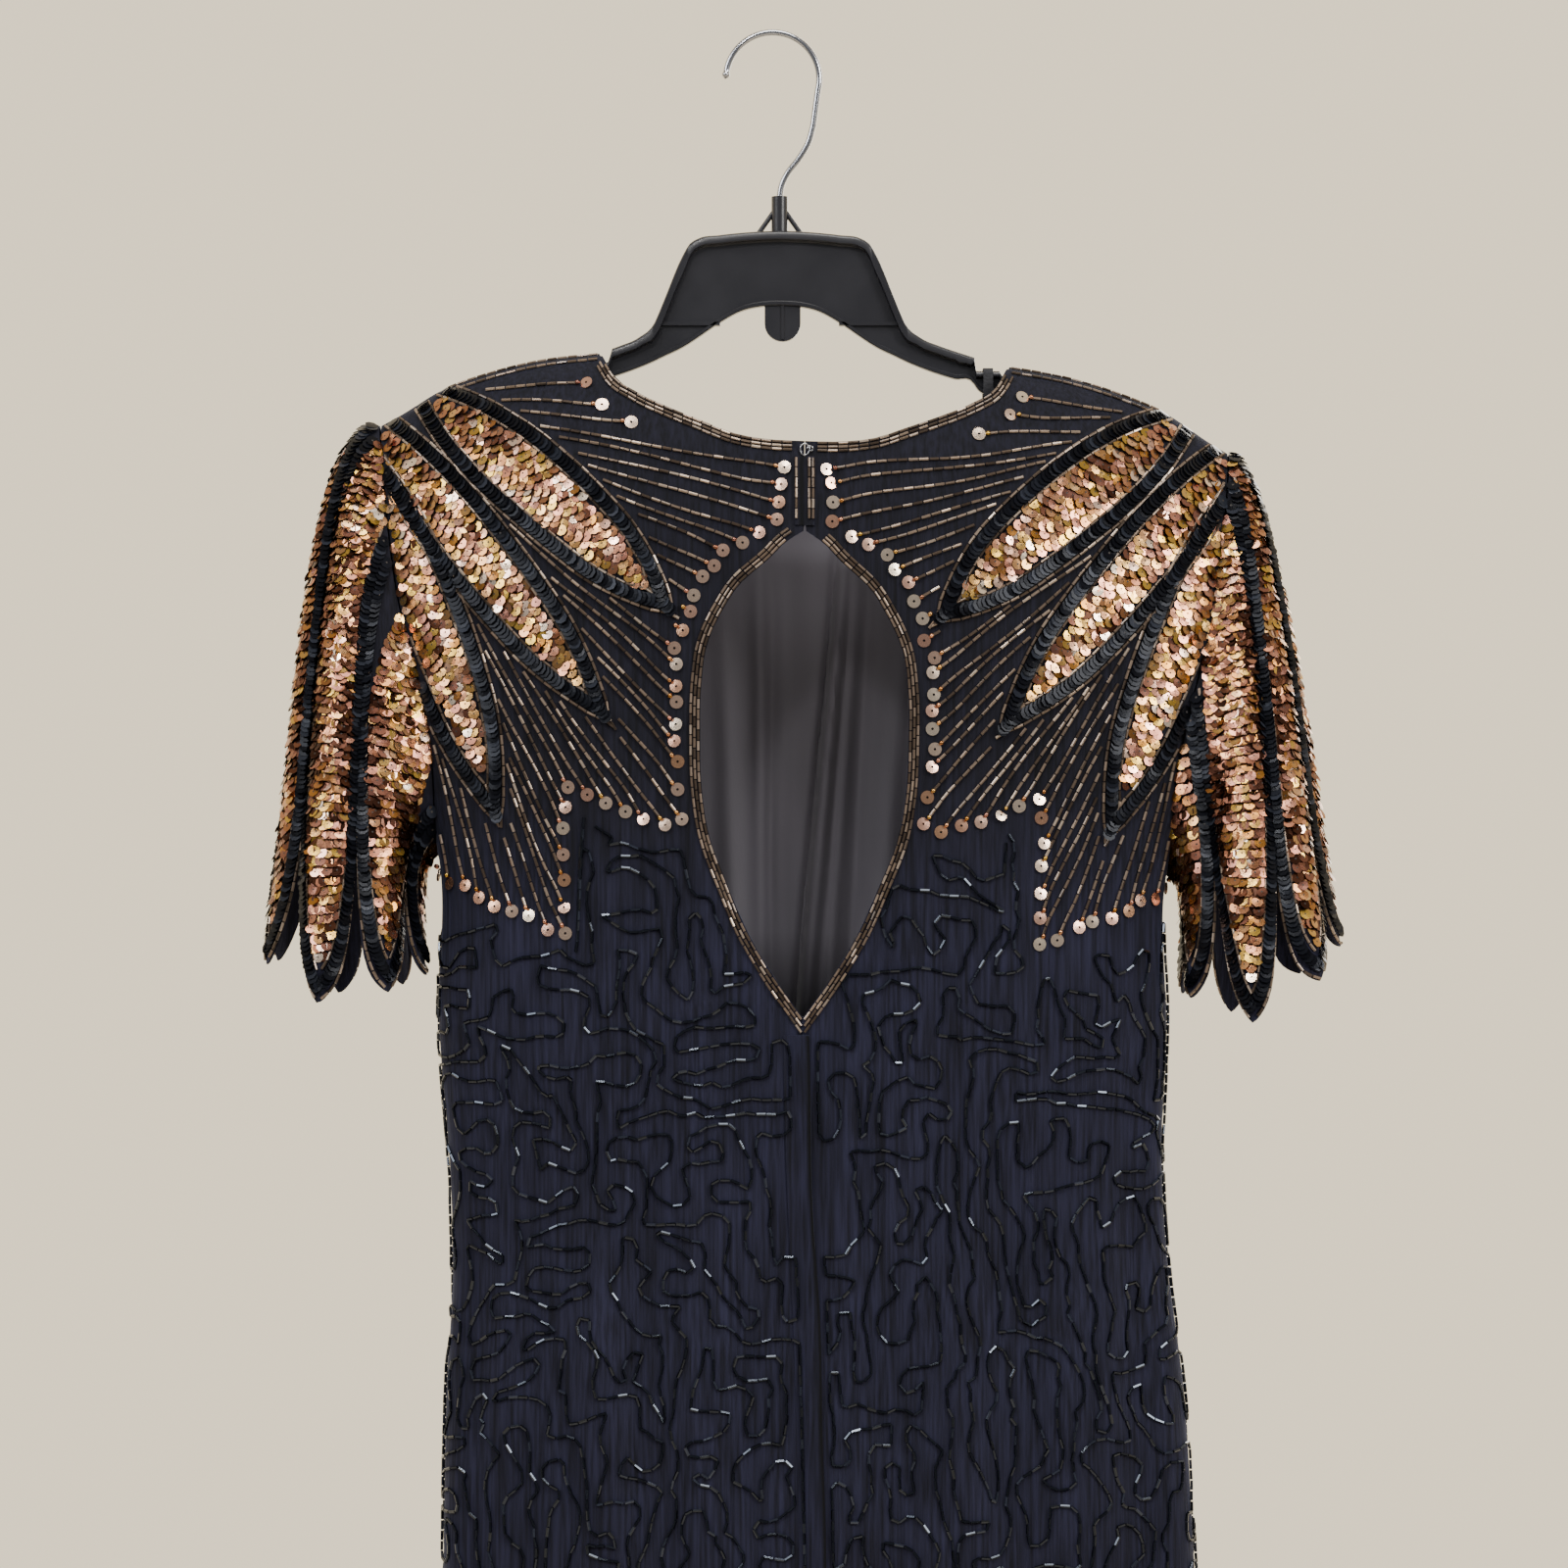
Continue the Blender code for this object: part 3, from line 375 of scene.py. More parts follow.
# h at the neck, h at the foot of the keyhole, depth, half width
LINING_FOLDS = ((19, -3, -10, 1.6), (24, 2.5, 6, 3.2), (-24, -20, 3, 3.5), (-16, -19, -2.6, 4.5),
                (36, 24, -3.2, 4), (30, 14, 2.4, 2.4), (-44, -34, 3, 6), (58, 40, 3.2, 6),
                (-84, -90, -2, 12), (96, 104, -2, 13))


def satin_material(name):
    material, shader, node, link = node_maker(name, (0.06, 0.056, 0.064), 0.42, Anisotropic=0.5,
                                              Sheen_Weight=0.15, Sheen_Roughness=0.4)
    weave = stretched_noise(node, (1, 1, 0.25), 900, 1)
    cloud = stretched_noise(node, (1, 1, 0.2), 26, 2)
    tint = ramp(node, cloud, (0.3, (0.085, 0.079, 0.093)), (0.7, (0.145, 0.136, 0.16)))
    shadow = ramp(node, share_of_height(node, -0.505, -0.462), (0, (0.12, 0.12, 0.13)),
                  (1, (1, 1, 1)))
    link(multiplied(node, tint, shadow), shader.inputs["Base Color"])
    link(bump(node, weave, 0.25, 0.0003), shader.inputs["Normal"])
    return material


def make_lining():
    rows = (np.linspace(0, 1, LINING_ROWS) ** 1.3)[:, None]
    even = np.linspace(-1, 1, LINING_COLUMNS)[None, :]
    share = 0.34 * even + 0.66 * even ** 3
    top_h = LINING_TOP_HALF * share
    top = panel_top(top_h, NECK_FRONT) - 3 - 14 * smooth_step((np.abs(top_h) - 82) / 30)
    z = top + (LINING_FOOT_Z - top) * rows
    h = (armhole_h(z) - 9) * share
    loose = 4.5 * smooth_step((top - z) / 45)
    folds = 1.2 * np.abs(np.sin(h * 0.105 + 0.6))
    for top_h, foot_h, depth, half in LINING_FOLDS:
        centre = top_h + (foot_h - top_h) * (-236 - z) / 260
        folds = folds + depth * np.exp(-((h - centre) / half) ** 2)
    folds = np.maximum(folds + 4, 0) * smooth_step((top - z) / 90)
    depth = face_depth(h, z, True) - CREPE_THICK - 0.9 - loose - folds
    outer = hang(h, depth, z)
    inner = outer - grid_normals(outer) * 0.8 * MM
    return cloth_between("front_lining_satin", outer, inner, "satin",
                         satin_material("charcoal_satin"))


lining = make_lining()
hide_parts("front_lining")

# Meander beading. Black bugle beads, cut glass tubes, are sewn end to end along a line that
# winds over all the cloth below the yoke and never crosses itself, the seams or the keyhole.
BUGLE_LENGTH = 4.7
BUGLE_PITCH = 5.3
BLACK_BUGLE_RADIUS = 0.78
MEANDER_TOP_Z = -401
LINE_SPACING = {False: 9.2, True: 13}     # back, front
LINE_JITTER = 3.7
FINE_JITTER = 1.5
LINE_TO_SEAM = 2.6
# Drift of the line: across, down, waves to a metre each way
DRIFT = ((4, 4, 7, 5), (2.4, 2.6, 13, -11), (2, 1.9, 21, 17), (1.4, 1.6, -19, 25))
KEYHOLE_MARGIN = 7
# z of the ends of the zip, whose lap carries beads too
ZIP = (-512, -868)
# h of its seam and of its free edge
LAP = (-10, 3)
# h, z of the upper limit of the meander, below the steps of the yoke
YOKE_FOOT = ((0, -412), (60, -414), (70, -417), (112, -402), (114, -472), (130, -470),
             (190, -443))


def lay(h, z, front):
    """The cloth's points and normals at h and z."""
    return face_points(h, z, front), face_normals(h, z, front)


def lap_rise(h, z):
    """How far the lap over the zip stands out from the back."""
    lump = 0.8 * np.exp(-((z + 636) / 22) ** 2)
    roll = 0.6 * np.exp(-((h - 2.2) / 1.2) ** 2)
    return 0.45 + (0.8 + lump) * smooth_step((h + 10) / 11) + roll


def walked(path):
    """How far along a path each of its points lies."""
    return np.concatenate([[0], np.cumsum(np.linalg.norm(np.diff(path, axis=0), axis=1))])


def points_at(spots, run, values):
    return np.stack([np.interp(spots, run, values[:, axis]) for axis in range(3)], 1)


def string_beads(path, normals):
    """Starts, ends and normals of beads strung along a path of points in metres."""
    run, length = walked(path), BUGLE_LENGTH * MM
    starts = np.arange(0, max(run[-1] - length, 0), BUGLE_PITCH * MM)
    return (points_at(starts, run, path), points_at(starts + length, run, path),
            points_at(starts + length / 2, run, normals))


def joined(parts):
    """The arrays of many parts, each kind put end to end."""
    return [np.concatenate(part) for part in zip(*parts)]


def ring_faces(rings, sides, closed=False):
    """Faces between rings of points one after another, and over both ends if left open."""
    faces = [(ring * sides + k, ring * sides + (k + 1) % sides,
              (ring + 1) % rings * sides + (k + 1) % sides, (ring + 1) % rings * sides + k)
             for ring in range(rings if closed else rings - 1) for k in range(sides)]
    if closed:
        return faces
    return faces + [tuple(range(sides))[::-1], tuple(range((rings - 1) * sides, rings * sides))]


def even_turn(sides, start=0):
    return (np.arange(sides) + start) * 2 * np.pi / sides


def rings_round(profile, turn, first, second, axis):
    """Rings of the radii and heights of a profile; first and second span their plane."""
    ring = np.cos(turn)[..., None] * first[:, None] + np.sin(turn)[..., None] * second[:, None]
    return np.concatenate([MM * (size * ring + height * axis[:, None])
                           for size, height in profile], 1)


def add_copies(name, verts, faces, slot, materials, tones, flat=(), second=()):
    """One mesh of many like things: verts are (copies, points, 3), faces those of one copy.
    Faces in flat aren't smoothed, and those in second take the second material."""
    count, size = verts.shape[:2]
    offsets = np.arange(count)[:, None] * size
    listed = []
    for face in faces:
        listed += (np.array(face)[None, :] + offsets).tolist()
    made = add_mesh(name, verts.reshape(-1, 3), listed, slot, *materials)
    number = np.repeat(np.arange(len(faces)), count)
    made.data.polygons.foreach_set("use_smooth", ~np.isin(number, list(flat)))
    made.data.polygons.foreach_set("material_index", np.isin(number, list(second)).astype("i"))
    tone = made.data.attributes.new("tone", "FLOAT", "POINT")
    tone.data.foreach_set("value", np.repeat(tones, size).astype("f"))
    return made


def add_bugles(name, strings, radius, material, slot, seed=1, sides=6):
    """Cut glass tubes, each lying on the cloth from its start to its end."""
    starts, ends, normals = joined(strings)
    axis = unit(ends - starts)
    side = unit(np.cross(normals, axis))
    up = np.cross(axis, side)
    rng = np.random.default_rng(seed)
    turn = even_turn(sides, rng.random((len(starts), 1)))
    ring = rings_round(((radius, 0),), turn, side, up, axis)
    lift = normals * radius * 0.95 * MM
    verts = np.concatenate([(starts + lift)[:, None] + ring, (ends + lift)[:, None] + ring], 1)
    return add_copies(name, verts, ring_faces(2, sides), slot, [material],
                      rng.random(len(starts)), flat=range(sides + 2))


def bead_material(name, stops, roughness, metallic, coat, gloss=0.6, tint=(1, 0.95, 0.9)):
    """Glass or foil in many tones, each bead with its own."""
    material, shader, node, link = node_maker(
        name, stops[-1][1], roughness, metallic, Coat_Weight=coat, Coat_Roughness=0.06,
        Specular_IOR_Level=gloss, Specular_Tint=(*tint, 1))
    link(ramp(node, attribute(node, "tone"), *stops), shader.inputs["Base Color"])
    streak = stretched_noise(node, (1, 1, 1), 1400, 1)
    link(bump(node, streak, 0.1, 0.0002), shader.inputs["Normal"])
    return material


# Its bluish specular tint paints the blue of a cool window light into the glints.
black_glass = bead_material("black_bugle_glass", ((0, (0.001, 0.001, 0.0015)),
                                                  (0.8, (0.003, 0.0035, 0.005)),
                                                  (1, (0.02, 0.023, 0.034))), 0.15, 0, 0,
                            0.6, (0.72, 0.82, 1))


def random_trees(allowed, rng):
    """Cells and links of a tree grown at random through each patch of allowed cells."""
    left = set(zip(*np.nonzero(allowed)))
    trees = []
    while left:
        first = min(left)
        left.discard(first)
        reached, links, edge = [first], [], [first]
        while edge:
            pick = int(rng.integers(len(edge)))
            row, column = edge[pick]
            near = [cell for cell in ((row + 1, column), (row - 1, column), (row, column + 1),
                                      (row, column - 1)) if cell in left]
            if not near:
                edge.pop(pick)
                continue
            cell = near[int(rng.integers(len(near)))]
            left.discard(cell)
            reached.append(cell)
            edge.append(cell)
            links.append(((row, column), cell))
        trees.append((reached, links))
    return trees


def line_round_tree(reached, links):
    """The closed line that runs all round a tree, through the four corners of each cell."""
    joins = {}
    for row, column in reached:
        corners = ((2 * row, 2 * column), (2 * row, 2 * column + 1),
                   (2 * row + 1, 2 * column + 1), (2 * row + 1, 2 * column))
        for number in range(4):
            joins.setdefault(corners[number], set()).add(corners[number - 1])
            joins.setdefault(corners[number - 1], set()).add(corners[number])
    for near, far in links:
        (row, column), (next_row, _) = sorted([near, far])
        if row == next_row:
            ends = [((2 * row + k, 2 * column + 1), (2 * row + k, 2 * column + 2)) for k in (0, 1)]
        else:
            ends = [((2 * row + 1, 2 * column + k), (2 * row + 2, 2 * column + k)) for k in (0, 1)]
        for end in (0, 1):
            joins[ends[0][end]].discard(ends[1][end])
            joins[ends[1][end]].discard(ends[0][end])
        for a, b in ends:
            joins[a].add(b)
            joins[b].add(a)
    start = min(joins)
    line, before, here = [start], None, start
    while True:
        before, here = here, [spot for spot in sorted(joins[here]) if spot != before][0]
        if here == start:
            return line
        line.append(here)


def round_corners(line):
    """The closed line with each corner cut off at a quarter of its sides."""
    after = np.roll(line, -1, axis=0)
    return np.stack([0.75 * line + 0.25 * after, 0.25 * line + 0.75 * after], 1).reshape(-1, 2)


# how far round the curved section each share of its half width lies
section_across = np.linspace(0, 1, 600)
section_depth = 0.222 * (1 - section_across ** SECTION_POWER) ** (1 / SECTION_POWER)
section_run = walked(np.stack([section_across, section_depth], 1))


def meander(side, front, seed):
    """Bead strings of one half of a face."""
    rng = np.random.default_rng(seed)
    spacing = LINE_SPACING[front]
    columns = int(190 * section_run[-1] / (2 * spacing))
    rows = int((MEANDER_TOP_Z - HEM_Z - 6) / (2 * spacing))

    def spread(place, drift=0):
        out = (place[:, 1] + 0.5) * spacing
        z = MEANDER_TOP_Z - (place[:, 0] + 0.5) * spacing
        wave_out, wave_z = out.copy(), z.copy()
        drift = drift * smooth_step(out / 45)
        for number, (across, down, out_waves, down_waves) in enumerate(DRIFT):
            phase = (wave_out * out_waves + wave_z * down_waves) * 2 * np.pi * MM + seed + number
            out = out + drift * across * np.sin(phase)
            z = z + drift * down * np.cos(phase * 0.9 + number)
        share = np.clip(out / (2 * columns * spacing), 0, 0.985)
        return half_width(z) * np.interp(share * section_run[-1], section_run, section_across), z

    cells = np.stack(np.meshgrid(np.arange(rows), np.arange(columns), indexing="ij"), -1)
    h, z = spread(cells.reshape(-1, 2) * 2 + 0.5)
    clear = z < np.interp(h, *zip(*YOKE_FOOT)) - 4
    if not front:
        clear &= h > keyhole_edge(z) + KEYHOLE_MARGIN + 2
    strings = []
    for reached, links in random_trees(clear.reshape(rows, columns), rng):
        if len(reached) < 2:
            continue
        line = np.array(line_round_tree(reached, links), float)
        line += rng.uniform(-1, 1, line.shape) * LINE_JITTER / spacing
        line = round_corners(line)
        line += rng.uniform(-1, 1, line.shape) * FINE_JITTER / spacing
        h, z = spread(round_corners(line), 1)
        inner_edge = 2 if front else np.maximum(keyhole_edge(z) + KEYHOLE_MARGIN, LINE_TO_SEAM)
        h = np.maximum(h, inner_edge)
        z = np.clip(z, HEM_Z + 6, np.interp(h, *zip(*YOKE_FOOT)))
        points, normals = lay(side * h, z, front)
        if not front:
            on_lap = (side * h > LAP[0]) & (side * h < LAP[1]) & (z < ZIP[0]) & (z > ZIP[1])
            points = points + normals * (on_lap * lap_rise(side * h, z) * MM)[:, None]
        strings.append(string_beads(points, normals))
    return strings


# name of each half of each face, whether it is in front, side
HALVES = [(f"{face}_{side_name}", front, side) for face, front in (("back", False), ("front", True))
          for side_name, side in (("left", -1), ("right", 1))]
for half_name, front, side in HALVES:
    add_bugles(f"{half_name}_meander", meander(side, front, (23 if front else 11) + side),
               BLACK_BUGLE_RADIUS, black_glass, "black_beads", sides=5)

# Leaves. On each shoulder three leaves are filled with gold cup sequins that overlap like fish
# scales, and edged by a rope of black sequins between two lines of bronze bugles.
SEQUIN_RADIUS = 2.9
SEQUIN_ROW = 2.4
SEQUIN_ACROSS = 5.7
SEQUIN_JITTER = 0.4
# degrees that the sequins lean, and how much that varies
SEQUIN_LEAN = (14, 6.5)
ROPE_RADIUS = 3.5
ROPE_PITCH = 2.4
ROPE_TILT = 21
ROPE_SPREAD = 3
BRONZE_BUGLE_RADIUS = 0.76
GOLD_INSET = 10.3
# in from a leaf's outline, short of its tip: the black rope, then the two bronze lines
ROPE_PATH = ((4.5, 7),)
BRONZE_PATHS = ((0.1, 0), (8.4, 17))
# base h, base z, tip h, tip z, half width, bow
LEAVES = ((192.5, -192.4, 62.5, -304.5, 22.5, -2.5), (222, -204.8, 95, -360.6, 20.5, 0),
          (223.5, -227.4, 152, -414, 20.5, -2))
# share of a leaf's length, share of its half width
LEAF_SHAPE = ((0, 0.45), (0.12, 0.75), (0.3, 0.97), (0.45, 1), (0.6, 0.95), (0.72, 0.84),
              (0.82, 0.62), (0.92, 0.3), (1, 0.06))
# a cup sequin with its hole, of radius 1: rings of radius, height
CUP = ((1, 0), (0.17, 0.025))
CUP_SIDES = 8
GOLD_TONES = ((0, (0.04, 0.015, 0.009)), (0.14, (0.16, 0.062, 0.032)),
              (0.26, (0.26, 0.115, 0.085)), (0.36, (0.38, 0.165, 0.03)),
              (0.46, (0.44, 0.2, 0.145)), (0.56, (0.5, 0.31, 0.05)), (0.66, (0.56, 0.24, 0.16)),
              (0.76, (0.62, 0.39, 0.08)), (0.87, (0.72, 0.4, 0.29)), (1, (0.95, 0.8, 0.62)))
gold_foil = bead_material("gold_sequin_foil", GOLD_TONES, 0.25, 0.96, 0)
# Its bluish specular tint paints cool window light into these glints too.
black_foil = bead_material("black_sequin_foil", ((0, (0.002, 0.002, 0.003)),
                                                 (0.75, (0.005, 0.0055, 0.008)),
                                                 (1, (0.022, 0.025, 0.034))), 0.22, 0, 0,
                           0.09, (0.86, 0.9, 1))
hole_shade = bead_material("dark_sequin_hole", ((0, (0.004, 0.003, 0.003)),
                                                (1, (0.02, 0.014, 0.01))), 0.6, 0, 0)
bronze_glass = bead_material("bronze_bugle_glass", ((0, (0.045, 0.031, 0.022)),
                                                    (0.5, (0.15, 0.108, 0.078)),
                                                    (0.88, (0.27, 0.2, 0.15)),
                                                    (1, (0.46, 0.37, 0.29))), 0.33, 0.6, 0.15)


def add_sequins(name, centres, normals, tips, radius, tilt, spread, tones, foil, slot, seed):
    """Cup sequins on the cloth, each with the edge towards its tip lifted over the next one."""
    rng = np.random.default_rng(seed)
    tips = unit(tips - normals * np.sum(tips * normals, -1, keepdims=True))
    lean = np.radians(tilt + rng.normal(0, spread, len(centres)))[:, None]
    roll = np.radians(rng.normal(0, spread, len(centres)))[:, None]
    along_tip = tips * np.cos(lean) + normals * np.sin(lean)
    up = normals * np.cos(lean) - tips * np.sin(lean)
    across = np.cross(up, along_tip)
    across, up = (across * np.cos(roll) + up * np.sin(roll),
                  up * np.cos(roll) - across * np.sin(roll))
    profile = [(radius * size, radius * height) for size, height in CUP]
    lift = radius * np.sin(np.abs(lean)) * 0.9 + 0.35
    verts = (centres + normals * lift * MM)[:, None] + rings_round(
        profile, even_turn(CUP_SIDES, 0.5), along_tip, across, up)
    return add_copies(name, verts, ring_faces(2, CUP_SIDES), slot, [foil, hole_shade], tones,
                      flat=range(CUP_SIDES + 2), second=(CUP_SIDES + 1,))


def mixed_tones(count, rng, painted_shade_and_mottle=0):
    """Mostly warm gold, some rose and some pale ones that catch the light."""
    tones = np.clip(rng.normal(0.5, 0.2, count), 0.03, 0.88)
    pale = rng.random(count) < 0.06
    # The last argument lowers the tones: painted shade in the sleeves' furrows, and a slow mottle.
    return np.clip(np.where(pale, rng.uniform(0.88, 1, count), tones) - painted_shade_and_mottle, 0, 1)


def leaf_place(leaf, s, offset):
    """h and z at a share of a leaf's length and a distance across it."""
    base_h, base_z, tip_h, tip_z, _, bow = leaf
    length = math.hypot(tip_h - base_h, tip_z - base_z)
    run_h, run_z = (tip_h - base_h) / length, (tip_z - base_z) / length
    offset = offset + bow * np.sin(np.pi * np.clip(s, 0, 1))
    return (base_h + run_h * length * s - run_z * offset,
            base_z + run_z * length * s + run_h * offset)


def leaf_half(leaf, s):
    return leaf[4] * along(LEAF_SHAPE, s)


def leaf_length(leaf):
    return math.hypot(leaf[2] - leaf[0], leaf[3] - leaf[1])


def on_panel(h, z):
    """Whether a place is inside the shoulder seam and the armhole."""
    return (h < armhole_h(z) - 1.8) & (z < along(SHOULDER, h) - 2.4)


def leaf_outline(leaf, inset, side_of_leaf, inner_tip):
    """h and z from base to tip along one side of a leaf, a distance inside its outline."""
    end = 1 - inner_tip / leaf_length(leaf)
    s = np.linspace(0, end, 240)
    half = leaf_half(leaf, s) - inset
    narrow = smooth_step((end - s) * leaf_length(leaf) / 16)
    half = np.maximum(half, 0.6) * narrow
    h, z = leaf_place(leaf, s, side_of_leaf * half)
    keep = on_panel(h, z)
    return h[keep], z[keep]


def leaf_paths(side, front, insets):
    """Points and normals down both sides of each leaf, for each inset and gap at the tip."""
    paths = []
    for leaf in LEAVES:
        for inset, tip in insets:
            for side_of_leaf in (-1, 1):
                h, z = leaf_outline(leaf, inset, side_of_leaf, tip)
                paths.append(lay(side * h, z, front))
    return paths


def leaf_gold(side, front, rng):
    """Points, normals and tip directions of the gold sequins of one shoulder's leaves."""
    parts = []
    for leaf in LEAVES:
        length = leaf_length(leaf)
        for row in range(int((length - 22) / SEQUIN_ROW)):
            s = (2 + row * SEQUIN_ROW) / length
            reach = float(leaf_half(leaf, s)) - GOLD_INSET
            if reach < 0.6:
                continue
            offset = (np.arange(-5, 6) + 0.5 * (row % 2)) * SEQUIN_ACROSS
            offset = offset[np.abs(offset) <= reach + 0.3]
            jitter = rng.uniform(-SEQUIN_JITTER, SEQUIN_JITTER, (2, len(offset)))
            offset = offset + jitter[0]
            spots = s - (0.35 * np.abs(offset) + jitter[1]) / length
            h, z = leaf_place(leaf, spots, offset)
            keep = on_panel(h, z)
            next_h, next_z = leaf_place(leaf, spots + 1 / length, offset * 0.97)
            if keep.any():
                points, normals = lay(side * h[keep], z[keep], front)
                ahead = face_points(side * next_h[keep], next_z[keep], front)
                parts.append((points, normals, ahead - points))
    return joined(parts)


def rope_on(points, normals):
    """Places, normals and directions of the stacked sequins of a rope along a path."""
    run = walked(points)
    places = np.arange(0, run[-1], ROPE_PITCH * MM)
    ahead = points_at(places + 1e-3, run, points) - points_at(places - 1e-3, run, points)
    return points_at(places, run, points), points_at(places, run, normals), ahead


def add_rope(name, paths, rng, seed):
    ropes = joined(rope_on(*path) for path in paths)
    add_sequins(name, *ropes, ROPE_RADIUS, ROPE_TILT, ROPE_SPREAD, rng.random(len(ropes[0])),
                black_foil, "black_sequins", seed)


for half_name, front, side in HALVES:
    seed = 40 + 2 * front + side
    rng = np.random.default_rng(seed)
    gold = leaf_gold(side, front, rng)
    leaves = add_sequins(f"{half_name}_leaf_sequins", *gold, SEQUIN_RADIUS, *SEQUIN_LEAN,
                         mixed_tones(len(gold[0]), rng), gold_foil, "gold_sequins", seed)
    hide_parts(*[f"leaf_{half_name}_{number}" for number in (1, 2, 3)])
    add_rope(f"{half_name}_leaf_ropes", leaf_paths(side, front, ROPE_PATH), rng, seed + 10)
    strings = [string_beads(*path) for path in leaf_paths(side, front, BRONZE_PATHS)]
    add_bugles(f"{half_name}_leaf_lines", strings, BRONZE_BUGLE_RADIUS, bronze_glass,
               "bronze_beads", seed)

# Yoke. From each leaf rows of bronze bugles fan out over the plain crepe and end in a gold
# sequin held by a bead, so that the foot of the yoke goes down in steps.
YOKE_FOCUS = (231, -195)
ROW_START = 5.6
WALK_STEP = 0.8
END_JITTER = 0.9
# h, z of the sequins that end the rows
ROW_ENDS = ((111, -185), (103.5, -195), (88, -205), (11, -225), (12.5, -233.5), (13.5, -242.5),
            (13.5, -253), (23.5, -259), (32, -264), (41, -269), (46, -276), (51.5, -282.5),
            (55.5, -291), (58.5, -300), (61, -310), (65, -318.5), (65, -327.5), (65.5, -337),
            (64.5, -346.5), (65, -356), (65.5, -365.5), (64, -375), (63, -390), (61, -403.5),
            (70, -407), (80, -404), (89.5, -402), (99.5, -398), (109, -392.5), (118.5, -389),
            (121, -399), (121.5, -411), (121, -424), (120.5, -437), (120.5, -450), (120, -463),
            (129, -461), (139, -455), (147.5, -451.5), (156, -449.5), (164.5, -446.5),
            (172, -440), (179, -439), (186, -435))
FRONT_ROW_ENDS = tuple((9.5, z) for z in range(-251, -386, -9)) + (
    (19, -396), (28.5, -400), (38, -403), (48, -404.5)) + ROW_ENDS[:3] + tuple(
        end for end in ROW_ENDS if end[1] < -403 or end[0] > 85 and end[1] < -380)


def in_leaves(h, z, margin=1.4):
    inside = np.zeros(np.shape(h), bool)
    for leaf in LEAVES:
        length = leaf_length(leaf)
        run_h, run_z = (leaf[2] - leaf[0]) / length, (leaf[3] - leaf[1]) / length
        s = ((h - leaf[0]) * run_h + (z - leaf[1]) * run_z) / length
        offset = (z - leaf[1]) * run_h - (h - leaf[0]) * run_z
        offset = offset - leaf[5] * np.sin(np.pi * np.clip(s, 0, 1))
        half = leaf_half(leaf, np.clip(s, 0, 1)) + margin
        inside |= (s > -0.05) & (s < 1 + margin / length) & (np.abs(offset) < half)
    return inside


def yoke_rows(side, front, rng):
    """Bead strings of the fan, and the places of the sequins at their ends."""
    strings, ends = [], []
    for end_h, end_z in (FRONT_ROW_ENDS if front else ROW_ENDS):
        h0, z0 = (end_h, end_z) + rng.uniform(-END_JITTER, END_JITTER, 2)
        length = math.hypot(YOKE_FOCUS[0] - h0, YOKE_FOCUS[1] - z0)
        run_h, run_z = (YOKE_FOCUS[0] - h0) / length, (YOKE_FOCUS[1] - z0) / length
        walk = np.arange(0, length - 8, WALK_STEP)
        sway = rng.uniform(0.5, 1.4) * np.sin(walk / rng.uniform(16, 26)
                                              + rng.uniform(0, 6.3)) * smooth_step(walk / 20)
        h, z = h0 + run_h * walk - run_z * sway, z0 + run_z * walk + run_h * sway
        stop = in_leaves(h, z) | ~on_panel(h, z)
        last = int(np.argmax(stop)) if stop.any() else len(walk)
        ends.append((side * h0, z0, side * run_h, run_z))
        first = int(ROW_START / WALK_STEP)
        if (last - first) * WALK_STEP > BUGLE_LENGTH:
            strings.append(string_beads(*lay(side * h[first:last], z[first:last], front)))
    return strings, np.array(ends)


def add_end_sequins(name, ends, front, seed):
    """Flat gold sequins with a turned-up rim, and the small bead that holds each."""
    rng = np.random.default_rng(seed)
    points, normals = lay(ends[:, 0], ends[:, 1], front)
    ahead = face_points(ends[:, 0] + ends[:, 2], ends[:, 1] + ends[:, 3], front)
    tips = unit(ahead - points)
    lean = np.radians(rng.normal(-9, 8, len(points)))[:, None]
    up = normals * np.cos(lean) - tips * np.sin(lean)
    side = np.cross(up, tips)
    along_row = np.cross(side, up)
    # radius and height of the rings of the sequin, then of the bead
    rim = ((3.45, 0), (3.45, 0.3), (0.65, 0.42), (0.6, 0))
    ball = [(1.3 * math.cos(level), 1.3 * math.sin(level))
            for level in np.radians((-62, -22, 22, 62))]
    sequins = (points + normals * 0.5 * MM)[:, None] + rings_round(
        rim, even_turn(14), along_row, side, up)
    faces = ring_faces(len(rim), 14, closed=True)
    add_copies(f"{name}_end_sequins", sequins, faces, "gold_sequins", [gold_foil],
               rng.uniform(0.84, 1, len(points)), flat=range(len(faces)))
    beads = (points + tips * 4.5 * MM + normals * 1.2 * MM)[:, None] + rings_round(
        ball, even_turn(7), side, up, along_row)
    add_copies(f"{name}_end_beads", beads, ring_faces(len(ball), 7), "gold_sequins", [gold_foil],
               rng.uniform(0.25, 0.7, len(points)))


for half_name, front, side in HALVES:
    seed = 60 + 2 * front + side
    strings, ends = yoke_rows(side, front, np.random.default_rng(seed))
    add_bugles(f"{half_name}_yoke_rows", strings, BRONZE_BUGLE_RADIUS, bronze_glass,
               "bronze_beads", seed)
    add_end_sequins(f"{half_name}_yoke", ends, front, seed)

# Bindings. Neck and keyhole are edged with close rows of bronze bugles, sewn through the turned
# edge of the crepe; two rows on each face run along the shoulder seam.
EDGE_ROWS = (1, 2.9, 4.8)
EDGE_BUGLE_RADIUS = 0.68
EDGE_TO_CENTRE = 0.8


def offset_curve(h, z, distance, towards):
    """The curve moved sideways by a distance, to the side that towards points at."""
    run_h, run_z = np.gradient(h), np.gradient(z)
    size = np.hypot(run_h, run_z)
    across_h, across_z = -run_z / size, run_h / size
    sign = np.where(np.mean(across_h * towards[0] + across_z * towards[1]) < 0, -1, 1)
    return h + sign * across_h * distance, z + sign * across_z * distance


